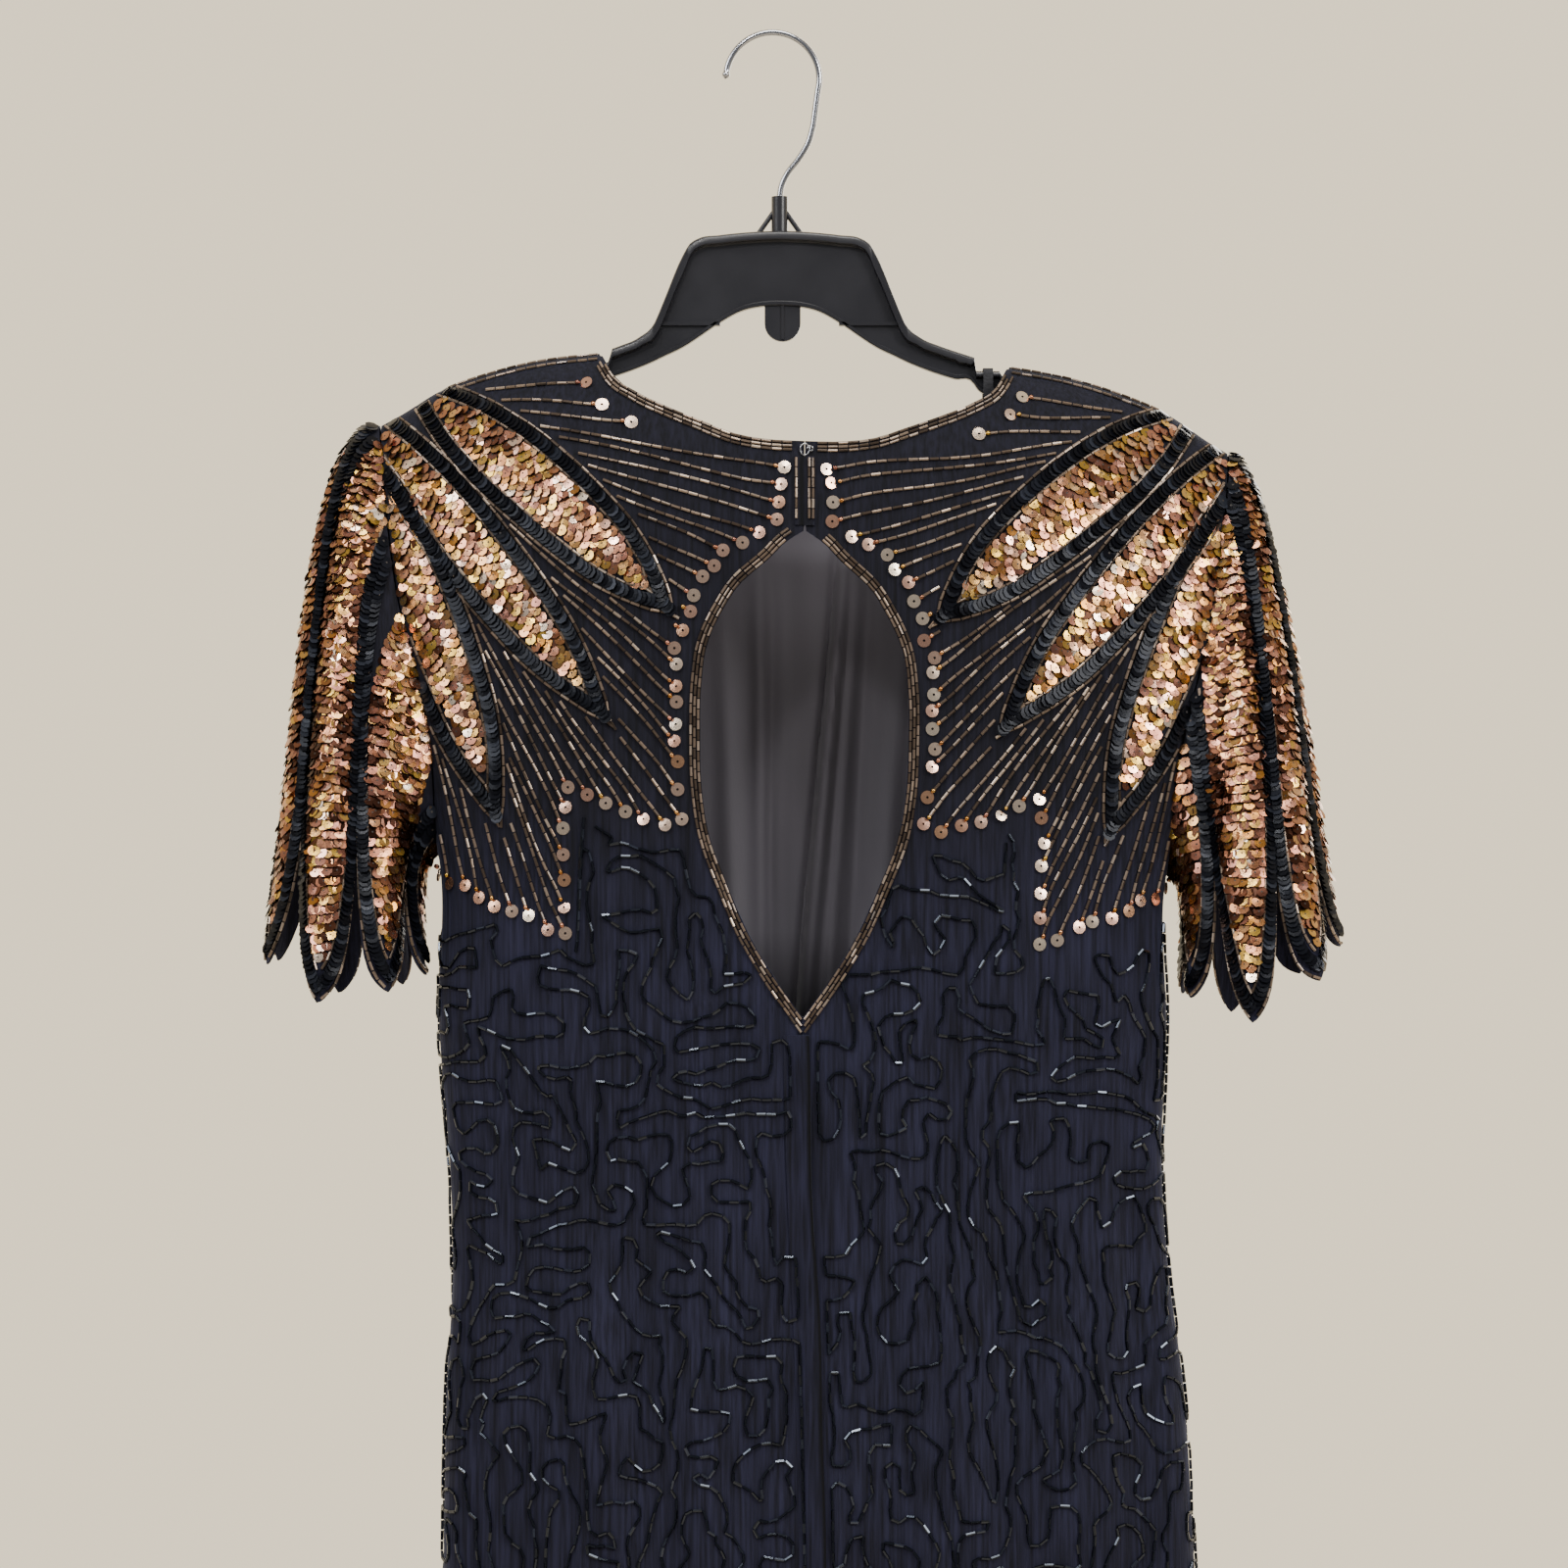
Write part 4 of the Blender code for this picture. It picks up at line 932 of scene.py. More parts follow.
def edge_beads(name, h, z, front, towards, seed, meet=False):
    """Rows of beads along an edge; where they meet, they go on from its end to the centre."""
    strings = []
    for inset in EDGE_ROWS:
        row_h, row_z = offset_curve(h, z, inset, towards)
        if meet:
            left = np.linspace(0, 1, 8)[1:] * (np.abs(row_h[-1]) - EDGE_TO_CENTRE)
            row_h = np.concatenate([row_h, row_h[-1] - np.sign(row_h[-1]) * left])[::-1]
            row_z = np.concatenate([row_z, row_z[-1] - 1.4 * left])[::-1]
        strings.append(string_beads(*lay(row_h, row_z, front)))
    beads = add_bugles(f"{name}_beads", strings, EDGE_BUGLE_RADIUS, bronze_glass,
                       "bronze_beads", seed)
    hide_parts(name)


keyhole_z = np.linspace(-260, -502, 160)
neck_h = np.linspace(6.5, 102.5, 80)
for number, (side_name, side) in enumerate((("left", -1), ("right", 1))):
    edge_beads(f"neck_binding_{side_name}", side * neck_h, along(NECK_BACK, neck_h), False,
               (side * 0.5, -1), 70 + number)
    edge_beads(f"keyhole_binding_{side_name}", side * keyhole_edge(keyhole_z), keyhole_z, False,
               (side, 0), 72 + number, meet=True)
front_h = np.linspace(-101, 101, 160)
edge_beads("neck_binding_front", front_h, along(NECK_FRONT, np.abs(front_h)), True, (0, -1), 74)

shoulder_h = np.linspace(106, 183, 60)
for face, front in (("back", False), ("front", True)):
    strings = [string_beads(*lay(side * shoulder_h, along(SHOULDER, shoulder_h) - drop, front))
               for side in (-1, 1) for drop in (1.4, 4.2)]
    add_bugles(f"{face}_shoulder_seam_beads", strings, EDGE_BUGLE_RADIUS, bronze_glass,
               "bronze_beads", 75)

# Placket. Between neck and keyhole the right edge laps over the left; a line of bugles runs down
# the left of the gap and two down the lap.
PLACKET = (-219.5, -254.5)


def raised_strip(name, h, z, heights, painted_shadow_share):
    """A thin strip of cloth on the back panels; heights are how far it stands out, and the last
    argument is 1 where a painted shadow darkens the cloth along its folded edge."""
    base, normals = lay(h, z, False)
    outer = base + normals * heights[..., None] * MM
    strip = cloth_between(name, outer, base + normals * 0.3 * MM, "crepe", crepe)
    edge_shadow_layer = strip.data.attributes.new("painted_edge_shadow", "FLOAT", "POINT")
    edge_shadow_layer.data.foreach_set("value", np.tile(np.broadcast_to(painted_shadow_share, h.shape).ravel(), 2).astype("f"))
    return strip


strip_z = np.linspace(*PLACKET, 20)[:, None]
strip_h = np.linspace(-5, 5, 21)[None, :]
placket_rise = 0.9 + 0.35 * smooth_step(strip_h / 2) - 0.5 * np.exp(-(strip_h + 1.6) ** 2 / 1.2)
# The last argument paints a shadow along the groove of the placket.
placket = raised_strip("neck_placket_cloth", strip_h + 0 * strip_z, strip_z + 0 * strip_h,
                       placket_rise + 0 * strip_z, np.exp(-((strip_h + 1.6) / 1.3) ** 4))
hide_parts("neck_placket")
line_z = np.linspace(PLACKET[0] - 1, PLACKET[1] + 0.5, 30)
strings = []
for line_h, rise in ((-4.3, 0.85), (2.2, 1.2), (4.2, 1.2)):
    points, normals = lay(np.full(30, line_h), line_z, False)
    strings.append(string_beads(points + normals * rise * MM, normals))
add_bugles("placket_beads", strings, EDGE_BUGLE_RADIUS, bronze_glass, "bronze_beads", 76)

# Zip. A concealed zip runs down the centre back from the keyhole, under a soft lap of the crepe;
# its woven tape is sewn to the inside.
strip_z = np.linspace(*ZIP, 90)[:, None]
strip_h = np.linspace(*LAP, 16)[None, :]
lap_edge = strip_h + 0.35 * np.sin(strip_z * 0.055) * smooth_step((strip_h + 10) / 13)
# The last argument paints a shadow along the lap's free edge.
lap = raised_strip("zip_lap_cloth", lap_edge, strip_z + 0 * strip_h, lap_rise(strip_h, strip_z),
                   smooth_step((strip_h - 0.9) / 0.9))
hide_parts("zip_lap")


def grained_material(name, colour, roughness, stops, tint_noise, relief_noise, relief, **more):
    """Two near tones in a cloud or a weave, with a fine relief."""
    material, shader, node, link = node_maker(name, colour, roughness, **more)
    link(ramp(node, stretched_noise(node, *tint_noise), *stops), shader.inputs["Base Color"])
    link(bump(node, stretched_noise(node, *relief_noise), *relief), shader.inputs["Normal"])
    return material


weave = ((0.4, 1, 1), 900, 1)
ribbon = grained_material("black_woven_ribbon", (0.012, 0.012, 0.015), 0.8,
                          ((0.3, (0.006, 0.006, 0.008)), (0.7, (0.02, 0.02, 0.024))), weave,
                          weave, (0.4, 0.0004))
tape_h = np.linspace(-13, 13, 19)[None, :]
tape_z = np.linspace(*ZIP, 90)[:, None]
coil = 0.5 * np.exp(-(tape_h / 2.2) ** 2) * (1 + 0.5 * np.sin(tape_z * 2.4))
tape_depth = face_depth(tape_h, tape_z, False) - CREPE_THICK - 0.6
tape_outer = hang(tape_h, -tape_depth, tape_z)
tape_inner = tape_outer + np.stack([0 * coil, (0.9 + coil) * MM, 0 * coil], -1)
zip_tape = cloth_between("zip_tape_ribbon", tape_outer, tape_inner, "ribbon", ribbon)
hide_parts("zip_tape")

# Hook and eye. Both are bent from thin plated wire and sewn on under the binding at the top of
# the placket; the hook is closed through the eye.
def add_tube(name, route, radius, sides=10, closed=False):
    """A round steel wire along points in metres."""
    if closed:
        run = unit(np.roll(route, -1, 0) - np.roll(route, 1, 0))
    else:
        run = unit(np.gradient(route, axis=0))
    side = unit(np.cross(run, (0, 1, 0.03)))
    ring = rings_round(((1, 0),), even_turn(sides), side, np.cross(run, side), run)
    verts = route[:, None] + np.broadcast_to(radius, len(route))[:, None, None] * ring
    return add_mesh(name, verts.reshape(-1, 3), ring_faces(len(route), sides, closed), "steel",
                    steel)


drawn = ((1, 1, 1), 700, 2)
steel = grained_material("plated_steel_wire", (0.5, 0.51, 0.54), 0.2,
                         ((0.2, (0.4, 0.408, 0.432)), (0.8, (0.5, 0.51, 0.54))), drawn, drawn,
                         (0.06, 0.0002), metallic=1)
eye_seat = face_points(np.array(0), np.array(-215.9), False)
turn = even_turn(28)
eye_route = np.stack([eye_seat[0] + 2.3 * MM * np.cos(turn), np.full(28, eye_seat[1] - 1.1 * MM),
                      eye_seat[2] + 2.9 * MM * np.sin(turn)], 1)
eye = add_tube("neck_eye", eye_route, 0.45, closed=True)
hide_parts("neck_hook_and_eye")
turn = np.radians(np.linspace(-80, 190, 22))
hook_route = np.stack([eye_seat[0] + (1.5 * np.cos(turn) + 2.6) * MM,
                       eye_seat[1] - (1.2 + 0.5 * np.sin(turn / 2)) * MM,
                       eye_seat[2] + (1.2 * np.sin(turn) + 0.4) * MM], 1)
add_tube("neck_hook", hook_route, 0.4)

# Sleeves. Each is seven long petals of crepe joined side by side down to their slits, and
# sequinned all over, so that they stand out from the shoulder and fall in furrows.
PETALS = 7
SLIT_LENGTH = 66
VALLEY_DEPTH = 5.5
SLEEVE_COLUMNS = 126
SLEEVE_ROWS = 46
SLEEVE_THICK = 1
SHOULDER_TIP_Z = -208
# angle from the outermost line of the sleeve, z of the petal tips there
PETAL_TIPS = ((0, -463), (26, -481), (51, -480), (77, -498), (103, -502), (128, -493),
              (154, -491), (180, -486))
# side, turn of the petals in degrees, puff of the head, steepness, twist at the head
SLEEVES = {"sleeve_left": (-1, 180 / PETALS, 0.16, 0.03, 6),
           "sleeve_right": (1, 0, 0.10, 0.30, 5)}
GATHER = 0.8


def sleeve_head(angle):
    half = (SHOULDER_TIP_Z - UNDERARM_Z) / 2
    z = (SHOULDER_TIP_Z + UNDERARM_Z) / 2 + half * np.cos(angle)
    back = np.sin(angle) >= 0
    h = armhole_h(z)
    depth = np.where(back, -face_depth(h, z, False), face_depth(h, z, True))
    return np.stack([h, depth, z], axis=-1)


def sleeve_foot(angle):
    turned = np.degrees(np.abs(np.arctan2(np.sin(angle), np.cos(angle))))
    h = 235 + 42 * np.cos(angle)
    return np.stack([h, -54 * np.sin(angle), along(PETAL_TIPS, turned)], axis=-1)


def sleeve_curve(angle, down, puff, steep):
    """A point of the smooth sleeve, which leaves the armhole outwards and falls."""
    head, foot = sleeve_head(angle), sleeve_foot(angle)
    length = np.linalg.norm(foot - head, axis=-1, keepdims=True)
    spread = np.sin(angle)
    out = unit(np.stack([np.ones_like(angle), -0.55 * spread,
                         -steep - 0.25 * np.sin(angle / 2) ** 2], -1))
    rise = np.stack([-0.18 * np.cos(angle), 0.10 * spread, np.ones_like(angle)], -1)
    head = head + out * 0.8
    second = head + out * length * puff
    third = foot + rise * length * 0.33
    t = down[..., None]
    point = head * (1 - t) ** 3 + second * 3 * t * (1 - t) ** 2 + third * 3 * t * t * (1 - t)
    return point + foot * t ** 3, length[..., 0]


def petal_edge(phase):
    return 0.45 * phase ** 1.3 + 0.55 * phase ** 5


def slit_share(length):
    return np.minimum(SLIT_LENGTH, 0.55 * length) / length


def gather_petals(angle, up):
    """Where a line of the petals runs when they crowd together towards the shoulder tip."""
    return angle - GATHER * up ** 2 * np.sin(angle)


def spread_petals(angle, up):
    """The other way round: which line of the petals is at this angle."""
    pull = GATHER * up ** 2
    spread = angle + 0 * pull
    for _ in range(8):
        spread = spread - (spread - pull * np.sin(spread) - angle) / (1 - pull * np.cos(spread))
    return spread


def sleeve_points(sleeve, angle, down):
    """Points on the furrowed sleeve, in metres. The furrows twist from head to foot."""
    side, turn, puff, steep, twist = SLEEVES[sleeve]
    point = sleeve_curve(angle, down, puff, steep)[0]
    up = 1 - np.clip(down, 0, 1)
    petal = (np.degrees(spread_petals(angle, up)) - turn - twist * up) * PETALS / 360
    phase = 2 * np.abs(petal - np.round(petal))
    furrow = VALLEY_DEPTH * phase ** 2 * smooth_step(down / 0.45)
    inward = np.stack([-np.cos(angle), np.sin(angle)], -1)
    point[..., :2] += furrow[..., None] * inward
    return hang(side * point[..., 0], point[..., 1], point[..., 2])


def sleeve_normals(sleeve, angle, down):
    turn = sleeve_points(sleeve, angle + 0.01, down) - sleeve_points(sleeve, angle - 0.01, down)
    fall = sleeve_points(sleeve, angle, down + 0.01) - sleeve_points(sleeve, angle, down - 0.01)
    return unit(np.cross(turn, fall)) * SLEEVES[sleeve][0]


def make_sleeve(sleeve):
    _, turn, puff, steep, _ = SLEEVES[sleeve]
    step = np.arange(SLEEVE_COLUMNS)
    angle = np.radians(turn) + step * 2 * np.pi / SLEEVE_COLUMNS
    phase = 2 * np.abs(step * PETALS / SLEEVE_COLUMNS - np.round(step * PETALS / SLEEVE_COLUMNS))
    length = sleeve_curve(angle, np.zeros(SLEEVE_COLUMNS), puff, steep)[1]
    foot_share = 1 - petal_edge(phase) * slit_share(length)
    down = np.linspace(0, 1, SLEEVE_ROWS)[:, None] * foot_share
    angles = np.broadcast_to(angle, down.shape)
    outer = sleeve_points(sleeve, angles, down)
    inner = outer - sleeve_normals(sleeve, angles, down) * SLEEVE_THICK * MM
    return cloth_between(f"{sleeve}_cloth", outer, inner, "crepe", crepe, wrap=True)


for sleeve, cut_area in (("sleeve_left", 0.049), ("sleeve_right", 0.044)):
    cloth = make_sleeve(sleeve)
    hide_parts(sleeve)

# Sleeve sequins. Every petal is filled with gold cup sequins in rows like fish scales. A bronze
# line and a rope of black sequins run down its sides and round its tip, and a fine bronze edge
# is sewn on where it hangs free below the slits.
PETAL_GOLD_INSET = 9.8
PETAL_LINE_INSET = 7.9
PETAL_ROPE_INSET = 4.3
PETAL_EDGE_INSET = 0.7
PETAL_SEQUIN_RADIUS = 3
PETAL_LEAN = (15, 7)


def petal_angle(sleeve, number, across, down):
    """Angle of a place across a petal, -1 to 1, where the petals twist with the furrows."""
    turn, twist = SLEEVES[sleeve][1], SLEEVES[sleeve][4]
    up = 1 - np.clip(down, 0, 1)
    line = np.radians(turn + (number + across / 2) * 360 / PETALS + twist * up)
    return gather_petals(line, up)


def petal_width(sleeve, number, down):
    left = sleeve_points(sleeve, petal_angle(sleeve, number, -0.5, down), down)
    right = sleeve_points(sleeve, petal_angle(sleeve, number, 0.5, down), down)
    return 2 * np.linalg.norm(right - left, axis=-1) / MM


def petal_foot(sleeve, number, across, inset):
    """How far down the foot of a petal lies, a distance inside its edge."""
    _, turn, puff, steep, _ = SLEEVES[sleeve]
    angle = np.radians(np.array([turn + number * 360 / PETALS]))
    length = float(sleeve_curve(angle, np.zeros(1), puff, steep)[1][0])
    slit = float(slit_share(length)) * length
    return 1 - (1.8 * inset + petal_edge(np.abs(across)) * (slit - 2)) / length


def petal_line(sleeve, number, inset, side_of_petal):
    """Points and normals down one side of a petal and on to its tip, a distance inside."""
    side_down = np.linspace(0.03, float(petal_foot(sleeve, number, 1, inset)), 90)
    across = np.linspace(1, 0, 60)[1:]
    down = np.concatenate([side_down, petal_foot(sleeve, number, across, inset)])
    share = np.concatenate([np.ones(90), across]) * side_of_petal
    share = share * (1 - 2 * inset / petal_width(sleeve, number, down))
    angle = petal_angle(sleeve, number, share, down)
    return sleeve_points(sleeve, angle, down), sleeve_normals(sleeve, angle, down)


def petal_gold(sleeve, number, rng):
    """Points, normals, tip directions and tones of one petal's gold sequins."""
    down = np.linspace(0, 1, 200)
    middle = sleeve_points(sleeve, petal_angle(sleeve, number, 0, down), down)
    run = walked(middle) / MM
    across, downs = [], []
    for row, distance in enumerate(np.arange(1.5, run[-1], SEQUIN_ROW)):
        here = float(np.interp(distance, run, down))
        width = float(petal_width(sleeve, number, np.array(here)))
        reach = width / 2 - PETAL_GOLD_INSET
        if reach < 0.8:
            continue
        spots = (np.arange(-6, 7) + 0.5 * (row % 2)) * SEQUIN_ACROSS
        spots = spots[np.abs(spots) <= reach + 0.6]
        inside = here < petal_foot(sleeve, number, np.minimum(np.abs(spots) / reach, 1),
                                   PETAL_GOLD_INSET)
        across.append(spots[inside] / (width / 2))
        downs.append(np.full(int(inside.sum()), here))
    across, downs = np.concatenate(across), np.concatenate(downs)
    across = across + rng.normal(0, 0.012, len(across))
    angle = petal_angle(sleeve, number, across, downs)
    points = sleeve_points(sleeve, angle, downs)
    after = petal_angle(sleeve, number, across, downs + 0.01)
    # Painted shade: tones a little lower over the whole sleeve and much lower towards each petal's
    # sides, in the furrows.
    shade = 0.06 + 0.38 * smooth_step((np.abs(across) - 0.15) / 0.4) * smooth_step(downs / 0.3)
    patch = 0.1 * np.sin(downs * 23 + number * 2.1 + 3 * across)
    return (points, sleeve_normals(sleeve, angle, downs),
            sleeve_points(sleeve, after, downs + 0.01) - points,
            mixed_tones(len(points), rng, shade + patch))


for sleeve in SLEEVES:
    rng = np.random.default_rng(80 + len(sleeve))
    *gold, tones = joined(petal_gold(sleeve, number, rng) for number in range(PETALS))
    add_sequins(f"{sleeve}_sequins", *gold, PETAL_SEQUIN_RADIUS, *PETAL_LEAN, tones, gold_foil,
                "gold_sequins", 81)
    rope_lines, bead_lines, edges = [
        [petal_line(sleeve, number, inset, side_of_petal)
         for number in range(PETALS) for side_of_petal in (-1, 1)]
        for inset in (PETAL_ROPE_INSET, PETAL_LINE_INSET, PETAL_EDGE_INSET)]
    add_rope(f"{sleeve}_ropes", rope_lines, rng, 82)
    strings = [string_beads(*line) for line in bead_lines]
    strings += [string_beads(points[80:], normals[80:]) for points, normals in edges]
    add_bugles(f"{sleeve}_lines", strings, BRONZE_BUGLE_RADIUS, bronze_glass, "bronze_beads", 83)

# Hanger. One moulding of black plastic: a flat web with a lip along its top and a thinner one
# below, cross ribs, a notch in each arm, a post with two struts and a tab under the middle.
HANGER_X = 4.25
HANGER_HALF_SPAN = 188
FLANGE_HALF = 5.5
FLANGE_THICK = 4.5
NOTCH_FLANGE_THICK = 3
STEEPEST_FLANGE = 2.2
FOOT_FLANGE_HALF = 3.2
FOOT_FLANGE_THICK = 2.4
WEB_HALF = 1.5
NOTCH = (101, 113)
POST_RADIUS = 4.2
STRUT_RADIUS = 1.3
TAB_HALF = 9.2
TAB_Z = -148.3
# distance from the centre line, z of the top edge, z of the lower edge
HANGER_ROWS = ((0, -101, -139), (10, -101.3, -139.6), (20, -102, -142), (31, -103.2, -148),
               (42, -105, -155.5), (46.5, -108, -158.5), (50, -114, -160.6), (60, -138, -165.4),
               (64.5, -148.5, -167.6), (72, -155.5, -170.8), (82, -160, -174.4),
               (90, -162.8, -176.8), (100, -166, -179.4), (101, -173, -181), (113, -173, -184.5),
               (114, -168, -184.7), (118, -168.5, -185), (124, -169, -186.3), (142, -170, -191),
               (160, -173, -197), (176, -177, -204), (188, -186, -210))


plastic = grained_material(
    "black_moulded_plastic", (0.011, 0.011, 0.014), 0.34,
    ((0.3, (0.009, 0.009, 0.012)), (0.7, (0.015, 0.015, 0.019))), ((1, 1, 1), 45, 3),
    ((1, 1, 1), 900, 2), (0.12, 0.0002), Coat_Weight=0.2, Coat_Roughness=0.2)


def shoulder_underside(x):
    """Top of the arm where the shoulder seam rests on it, and no limit inside the neck."""
    h = x - CENTRE_X
    if abs(h) < NECK_POINT_H - 4:
        return 0
    fall = (along(SHOULDER, abs(h) - 4) - along(SHOULDER, abs(h) + 4)) / 8
    relief = 3.5 * max(0, 1 - abs(abs(h) - NECK_POINT_H) / 10)
    return along(SHOULDER, abs(h)) - TILT * h - 2.8 * math.hypot(1, fall + TILT) - relief


def arm_section(distance, side):
    """The section across the hanger at a distance from its centre line, with rounded lips."""
    x = HANGER_X + side * distance
    near_notch = NOTCH[0] - 12 < distance < NOTCH[1] + 6
    top = np.interp(distance, *zip(*[row[:2] for row in HANGER_ROWS])) if near_notch else along(
        HANGER_ROWS, distance)
    top = min(float(top), shoulder_underside(x))
    foot = float(along(HANGER_ROWS, distance, 2))
    if abs(x - CENTRE_X) > NECK_POINT_H:
        reach = float(smooth_step((distance - NOTCH[0]) / (HANGER_HALF_SPAN - NOTCH[0])))
        foot = top - 14.5 + 5.5 * reach
    slope = float(along(HANGER_ROWS, distance + 1.5) - along(HANGER_ROWS, distance - 1.5)) / 3
    flange = FLANGE_THICK * min(math.hypot(1, slope), STEEPEST_FLANGE)
    if NOTCH[0] - 1.5 < distance < NOTCH[1] + 1.5:
        flange = NOTCH_FLANGE_THICK
    flange = min(flange, (top - foot) * 0.4)
    root = top - flange
    lower = foot + FOOT_FLANGE_THICK
    right = [(FOOT_FLANGE_HALF - 0.4, foot), (FOOT_FLANGE_HALF, foot + 0.5),
             (FOOT_FLANGE_HALF, lower - 0.5), (FOOT_FLANGE_HALF - 0.4, lower), (WEB_HALF, lower),
             (WEB_HALF, root - 0.9), (WEB_HALF + 0.9, root), (FLANGE_HALF - 0.5, root),
             (FLANGE_HALF, root + 0.5), (FLANGE_HALF, top - 1.6), (FLANGE_HALF - 0.5, top - 0.6),
             (FLANGE_HALF - 1.6, top)]
    return [(x, y, z) for y, z in right + [(-y, z) for y, z in reversed(right)]]


def add_prism(verts, faces, *rings):
    """Rings of points in millimetres, joined and closed at both ends, added to the lists."""
    start = len(verts)
    verts += [tuple(part * MM for part in point) for ring in rings for point in ring]
    faces += [tuple(start + spot for spot in face)
              for face in ring_faces(len(rings), len(rings[0]))]


def add_block(verts, faces, low, high, soft=0.5):
    """A box with its upright edges taken off."""
    (x0, y0, z0), (x1, y1, z1) = low, high
    outline = [(x0 + soft, y0), (x1 - soft, y0), (x1, y0 + soft), (x1, y1 - soft),
               (x1 - soft, y1), (x0 + soft, y1), (x0, y1 - soft), (x0, y0 + soft)]
    add_prism(verts, faces, *[[(x, y, z) for x, y in outline] for z in (z0, z1)])


def add_rod(verts, faces, low, high, radius, sides=20):
    low, high = np.array(low), np.array(high)
    run = unit(high - low)
    side = unit(np.cross(run, (0, 1, 0)))
    turn = even_turn(sides)[:, None]
    ring = radius * (side * np.cos(turn) + np.cross(run, side) * np.sin(turn))
    add_prism(verts, faces, low + ring, high + ring)


def make_hanger():
    even_stations = set(np.arange(0, HANGER_HALF_SPAN + 0.1, 2))
    stations = sorted(even_stations | {row[0] for row in HANGER_ROWS})
    verts, faces = [], []
    add_prism(verts, faces, *[arm_section(place, -1) for place in reversed(stations)],
              *[arm_section(place, 1) for place in stations[1:]])
    add_rod(verts, faces, (HANGER_X, 0, -103.5), (HANGER_X, 0, -83), POST_RADIUS)
    for side in (-1, 1):
        add_rod(verts, faces, (HANGER_X + side * 12, 0, -103.5),
                (HANGER_X + side * 3.2, 0, -91), STRUT_RADIUS, 10)
        near, far = sorted((HANGER_X + side * 30.5, HANGER_X + side * 64))
        add_block(verts, faces, (near, -3.2, -149.4), (far, 3.2, -147.6))
    tab = [(-TAB_HALF, -137.5), (TAB_HALF, -137.5)] + [
        (TAB_HALF * math.cos(turn), TAB_Z - TAB_HALF * math.sin(turn))
        for turn in np.arange(17) * math.pi / 16]
    add_prism(verts, faces, *[[(HANGER_X + 1.5 + x, y, z) for x, z in tab] for y in (1.9, -1.9)])
    add_block(verts, faces, (HANGER_X + 0.5, -2.6, -156.5), (HANGER_X + 2.5, 2.6, -137.5), 0.4)
    made = add_mesh("hanger", verts, faces, "black_plastic", plastic)
    made.data.set_sharp_from_angle(angle=math.radians(38))
    return made


hanger = make_hanger()
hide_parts("hanger_body")

# Wire hook. Bright plated steel wire, bent round the rail with its end rolled to a ball, and
# pressed into the post of the hanger.
HOOK_RADIUS = 24
WIRE_RADIUS = 1.6
HOOK_STEM = ((21.4, -46.5), (19, -55), (14, -63.5), (8.2, -71), (5.2, -77.5), (4.25, -84),
             (4.25, -91.5))
turns = np.radians(np.linspace(172, -14, 48))
round_part = np.stack([0.6 + HOOK_RADIUS * np.cos(turns),
                       WIRE_RADIUS + HOOK_RADIUS * (np.sin(turns) - 1)], 1)
stem = np.array(HOOK_STEM)
stem_run = walked(stem)
stem_rows = [(run, x, z) for run, (x, z) in zip(stem_run, stem)]
stem_places = np.linspace(0, stem_run[-1], 30)
stem_part = np.stack([along(stem_rows, stem_places), along(stem_rows, stem_places, 2)], 1)
wire_xz = np.concatenate([round_part, stem_part])
wire_route = np.stack([wire_xz[:, 0], 0 * wire_xz[:, 0], wire_xz[:, 1]], 1) * MM
ball = np.array([0.1, 0.7, 1.25, 1.7, 1.95, 2.05, 1.95, 1.75])
back = np.linspace(3.4, 0.2, len(ball))[:, None] * MM
heading = unit(wire_route[1] - wire_route[0])[None, :]
wire_route = np.concatenate([wire_route[:1] - heading * back, wire_route])
wire_radii = np.concatenate([ball, np.full(len(wire_xz), WIRE_RADIUS)])
hook = add_tube("wire_hook", wire_route, wire_radii, 16)
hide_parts("hanger_hook")

# Ribbon loops. Two narrow loops of the woven ribbon are sewn inside the shoulders; they are
# slipped over the hanger's notches, so that the wide neck can't slide off.
LOOP_HALF = 2.5
LOOP_AT = sum(NOTCH) / 2


def make_loop(name, side):
    heights = [point[2] for point in arm_section(LOOP_AT, side)]
    top, foot = max(heights) + 0.5, min(heights) - 2.1
    half = FLANGE_HALF + 0.5
    corner = 1.6
    route = []
    for y, z, start in ((half - corner, top - corner, 0), (half - corner, foot + corner, 270),
                        (-half + corner, foot + corner, 180), (-half + corner, top - corner, 90)):
        for step in range(6):
            turn = math.radians(start + 90 - step * 18)
            route.append((y, z, math.cos(turn), math.sin(turn)))
    x = HANGER_X + side * LOOP_AT + np.linspace(-LOOP_HALF, LOOP_HALF, 7)
    grids = []
    for grow in (corner + 1, corner):
        grids.append(np.array([[(spot * MM, (y + grow * out_y) * MM, (z + grow * out_z) * MM)
                                for y, z, out_y, out_z in route] for spot in x]))
    return cloth_between(name, *grids, "ribbon", ribbon, wrap=True)


for side_name, side in (("left", -1), ("right", 1)):
    loop = make_loop(f"hanger_loop_{side_name}_ribbon", side)
    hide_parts(f"hanger_loop_{side_name}")

# Floor, light and camera. The dress hangs clear of a pale floor; a big soft light stands to
# the upper left and a smaller one gives the sequins their glints.
FLOOR_HALF, FLOOR_Z = 1.9, -1.30
floor_mesh = bpy.data.meshes.new("floor")
floor_mesh.from_pydata([(x * FLOOR_HALF, y * FLOOR_HALF, FLOOR_Z)
                        for x, y in ((-1, -1), (1, -1), (1, 1), (-1, 1))], [], [(0, 1, 2, 3)])
grain = ((1, 1, 1), 60, 4)
floor_mesh.materials.append(grained_material(
    "pale_floor", (0.62, 0.57, 0.49), 0.7,
    ((0.3, (0.6, 0.55, 0.47)), (0.7, (0.65, 0.6, 0.52))), grain, grain, (0.1, 0.001)))
floor = bpy.data.objects.new("floor", floor_mesh)
bpy.context.scene.collection.objects.link(floor)
world = bpy.data.worlds.new("pale_room")
bpy.context.scene.world = world
world.use_nodes = True
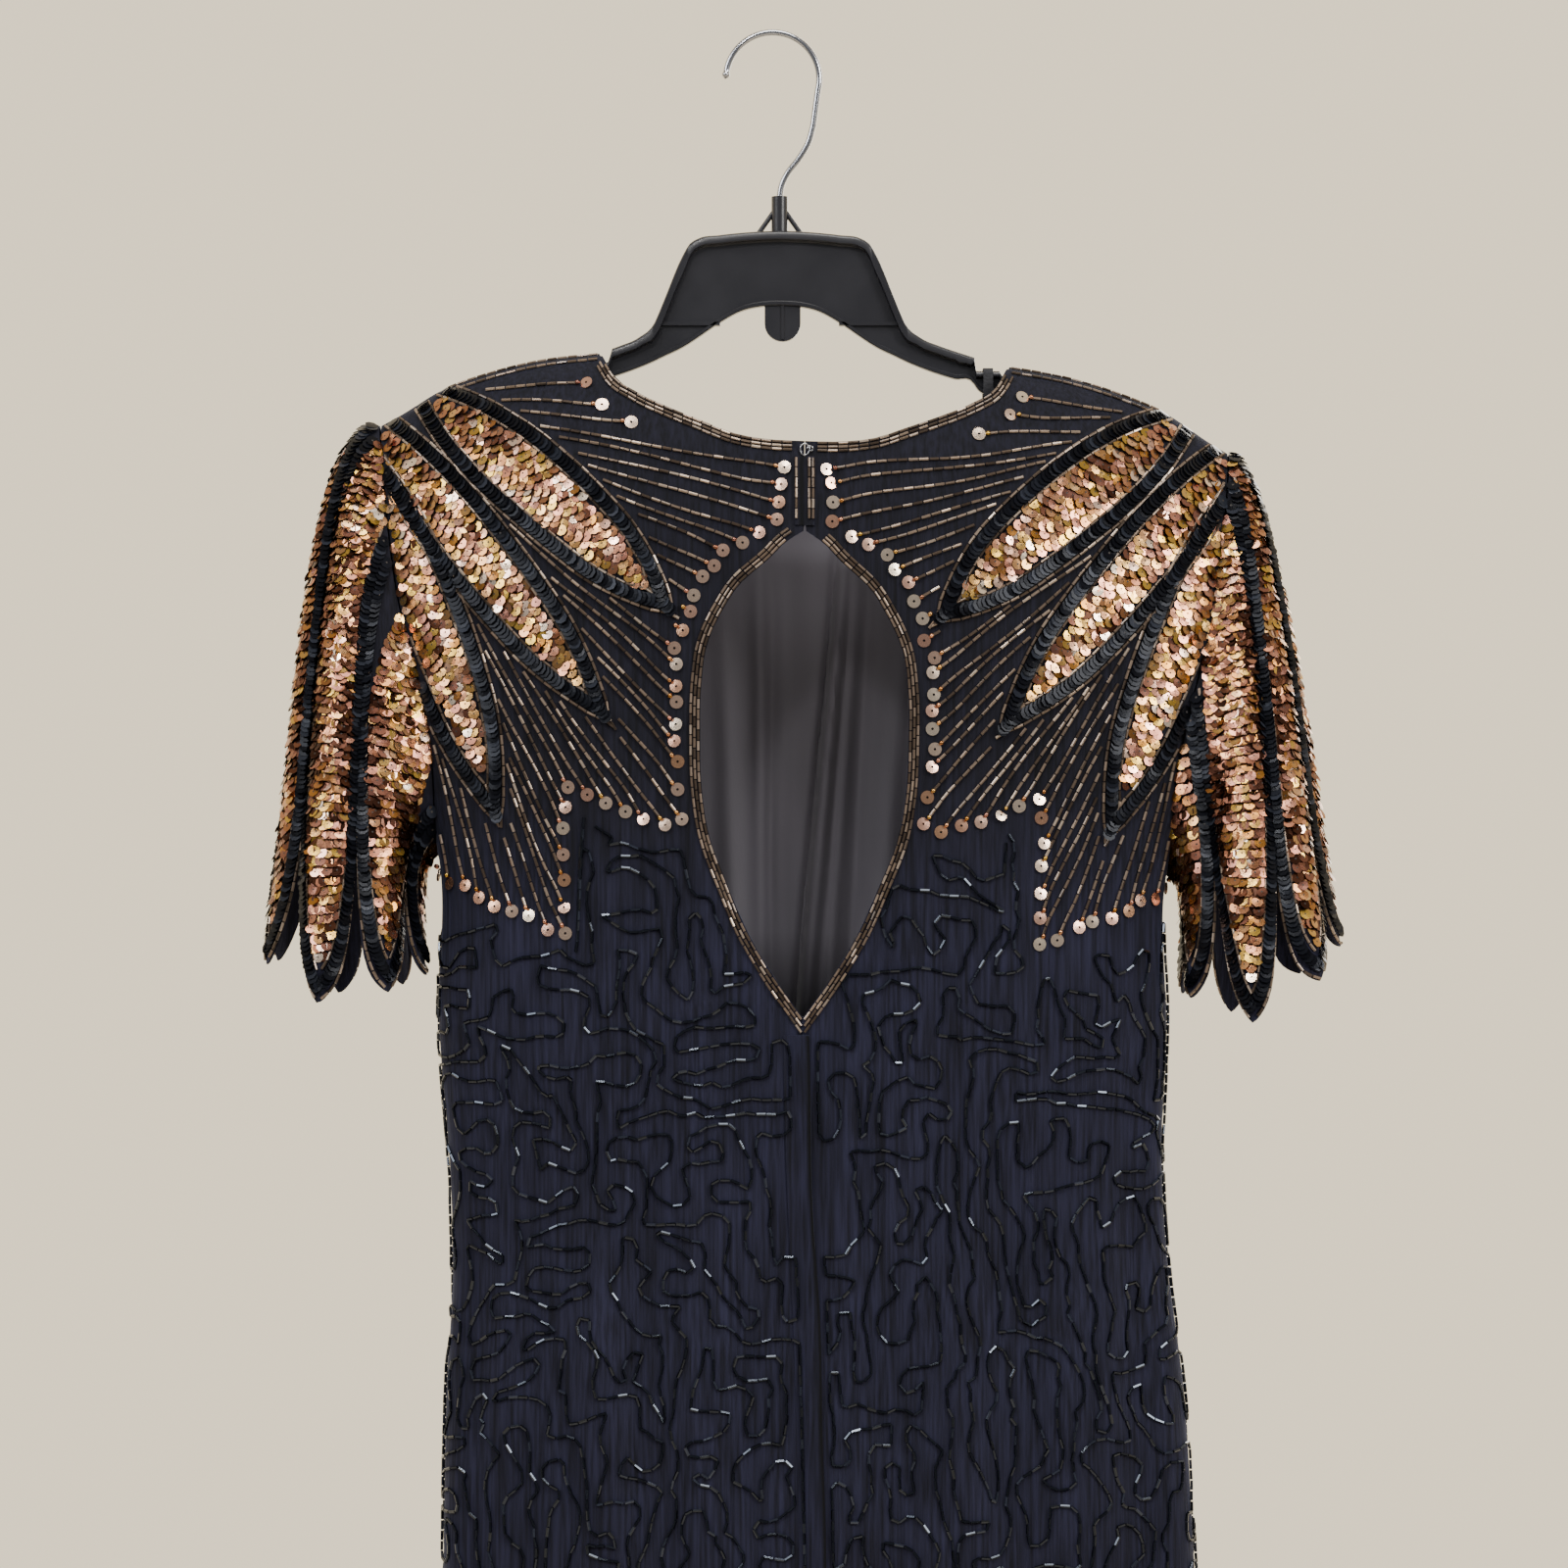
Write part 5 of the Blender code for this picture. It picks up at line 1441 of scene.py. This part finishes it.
sky = world.node_tree
node = node_adder(sky)
facing = node("ShaderNodeTexCoord").outputs["Generated"]
to_wall = node("ShaderNodeSeparateXYZ", Vector=facing).outputs["Y"]
spread_out = node("ShaderNodeMapRange", Value=to_wall, From_Min=-0.45, From_Max=0.55)
room = ramp(node, spread_out.outputs["Result"], (0, (0.21, 0.21, 0.215)),
            (1, (1.42, 1.22, 0.88)))
sky.links.new(room, sky.nodes["Background"].inputs["Color"])
sky.nodes["Background"].inputs["Strength"].default_value = 1
# name, place, target, width, height, power, colour
LIGHTS = (("key", (-1.8, -1.5, 0.9), (0, 0, -0.45), 1, 1, 31, (0.97, 0.98, 1)),
          ("fill", (1.7, -1.5, 0.6), (0, 0, -0.45), 0.8, 0.8, 41, (1, 0.98, 0.95)),
          ("glint", (-0.4, -1.4, 0.9), (0, 0, -0.4), 0.22, 0.22, 9, (1, 0.98, 0.95)),
          ("ceiling", (0.1, -0.9, 1.5), (0, 0, -0.4), 0.9, 0.9, 26, (1, 0.98, 0.94)),
          ("far_side", (0.8, 2.2, 0.4), (0, 0, -0.5), 1.4, 1.4, 30, (1, 0.98, 0.95)))
for name, place, target, width, height, power, colour in LIGHTS:
    lamp = bpy.data.lights.new(name, "AREA")
    lamp.shape = "RECTANGLE"
    lamp.size, lamp.size_y, lamp.energy, lamp.color = width, height, power, colour
    held = bpy.data.objects.new(name, lamp)
    held.location = place
    aim = np.array(target) - np.array(place)
    held.rotation_euler = (math.atan2(math.hypot(aim[0], aim[1]), -aim[2]), 0,
                           math.atan2(aim[1], aim[0]) - math.pi / 2)
    bpy.context.scene.collection.objects.link(held)

camera = bpy.data.cameras.new("camera")
camera.sensor_fit = "HORIZONTAL"
camera.sensor_width = 36
camera.lens = 36 * 2.2 / 0.8
viewer = bpy.data.objects.new("camera", camera)
viewer.location = (0.0065, -2.218, -0.385)
viewer.rotation_euler = (math.radians(90), 0, 0)
bpy.context.scene.collection.objects.link(viewer)
bpy.context.scene.camera = viewer
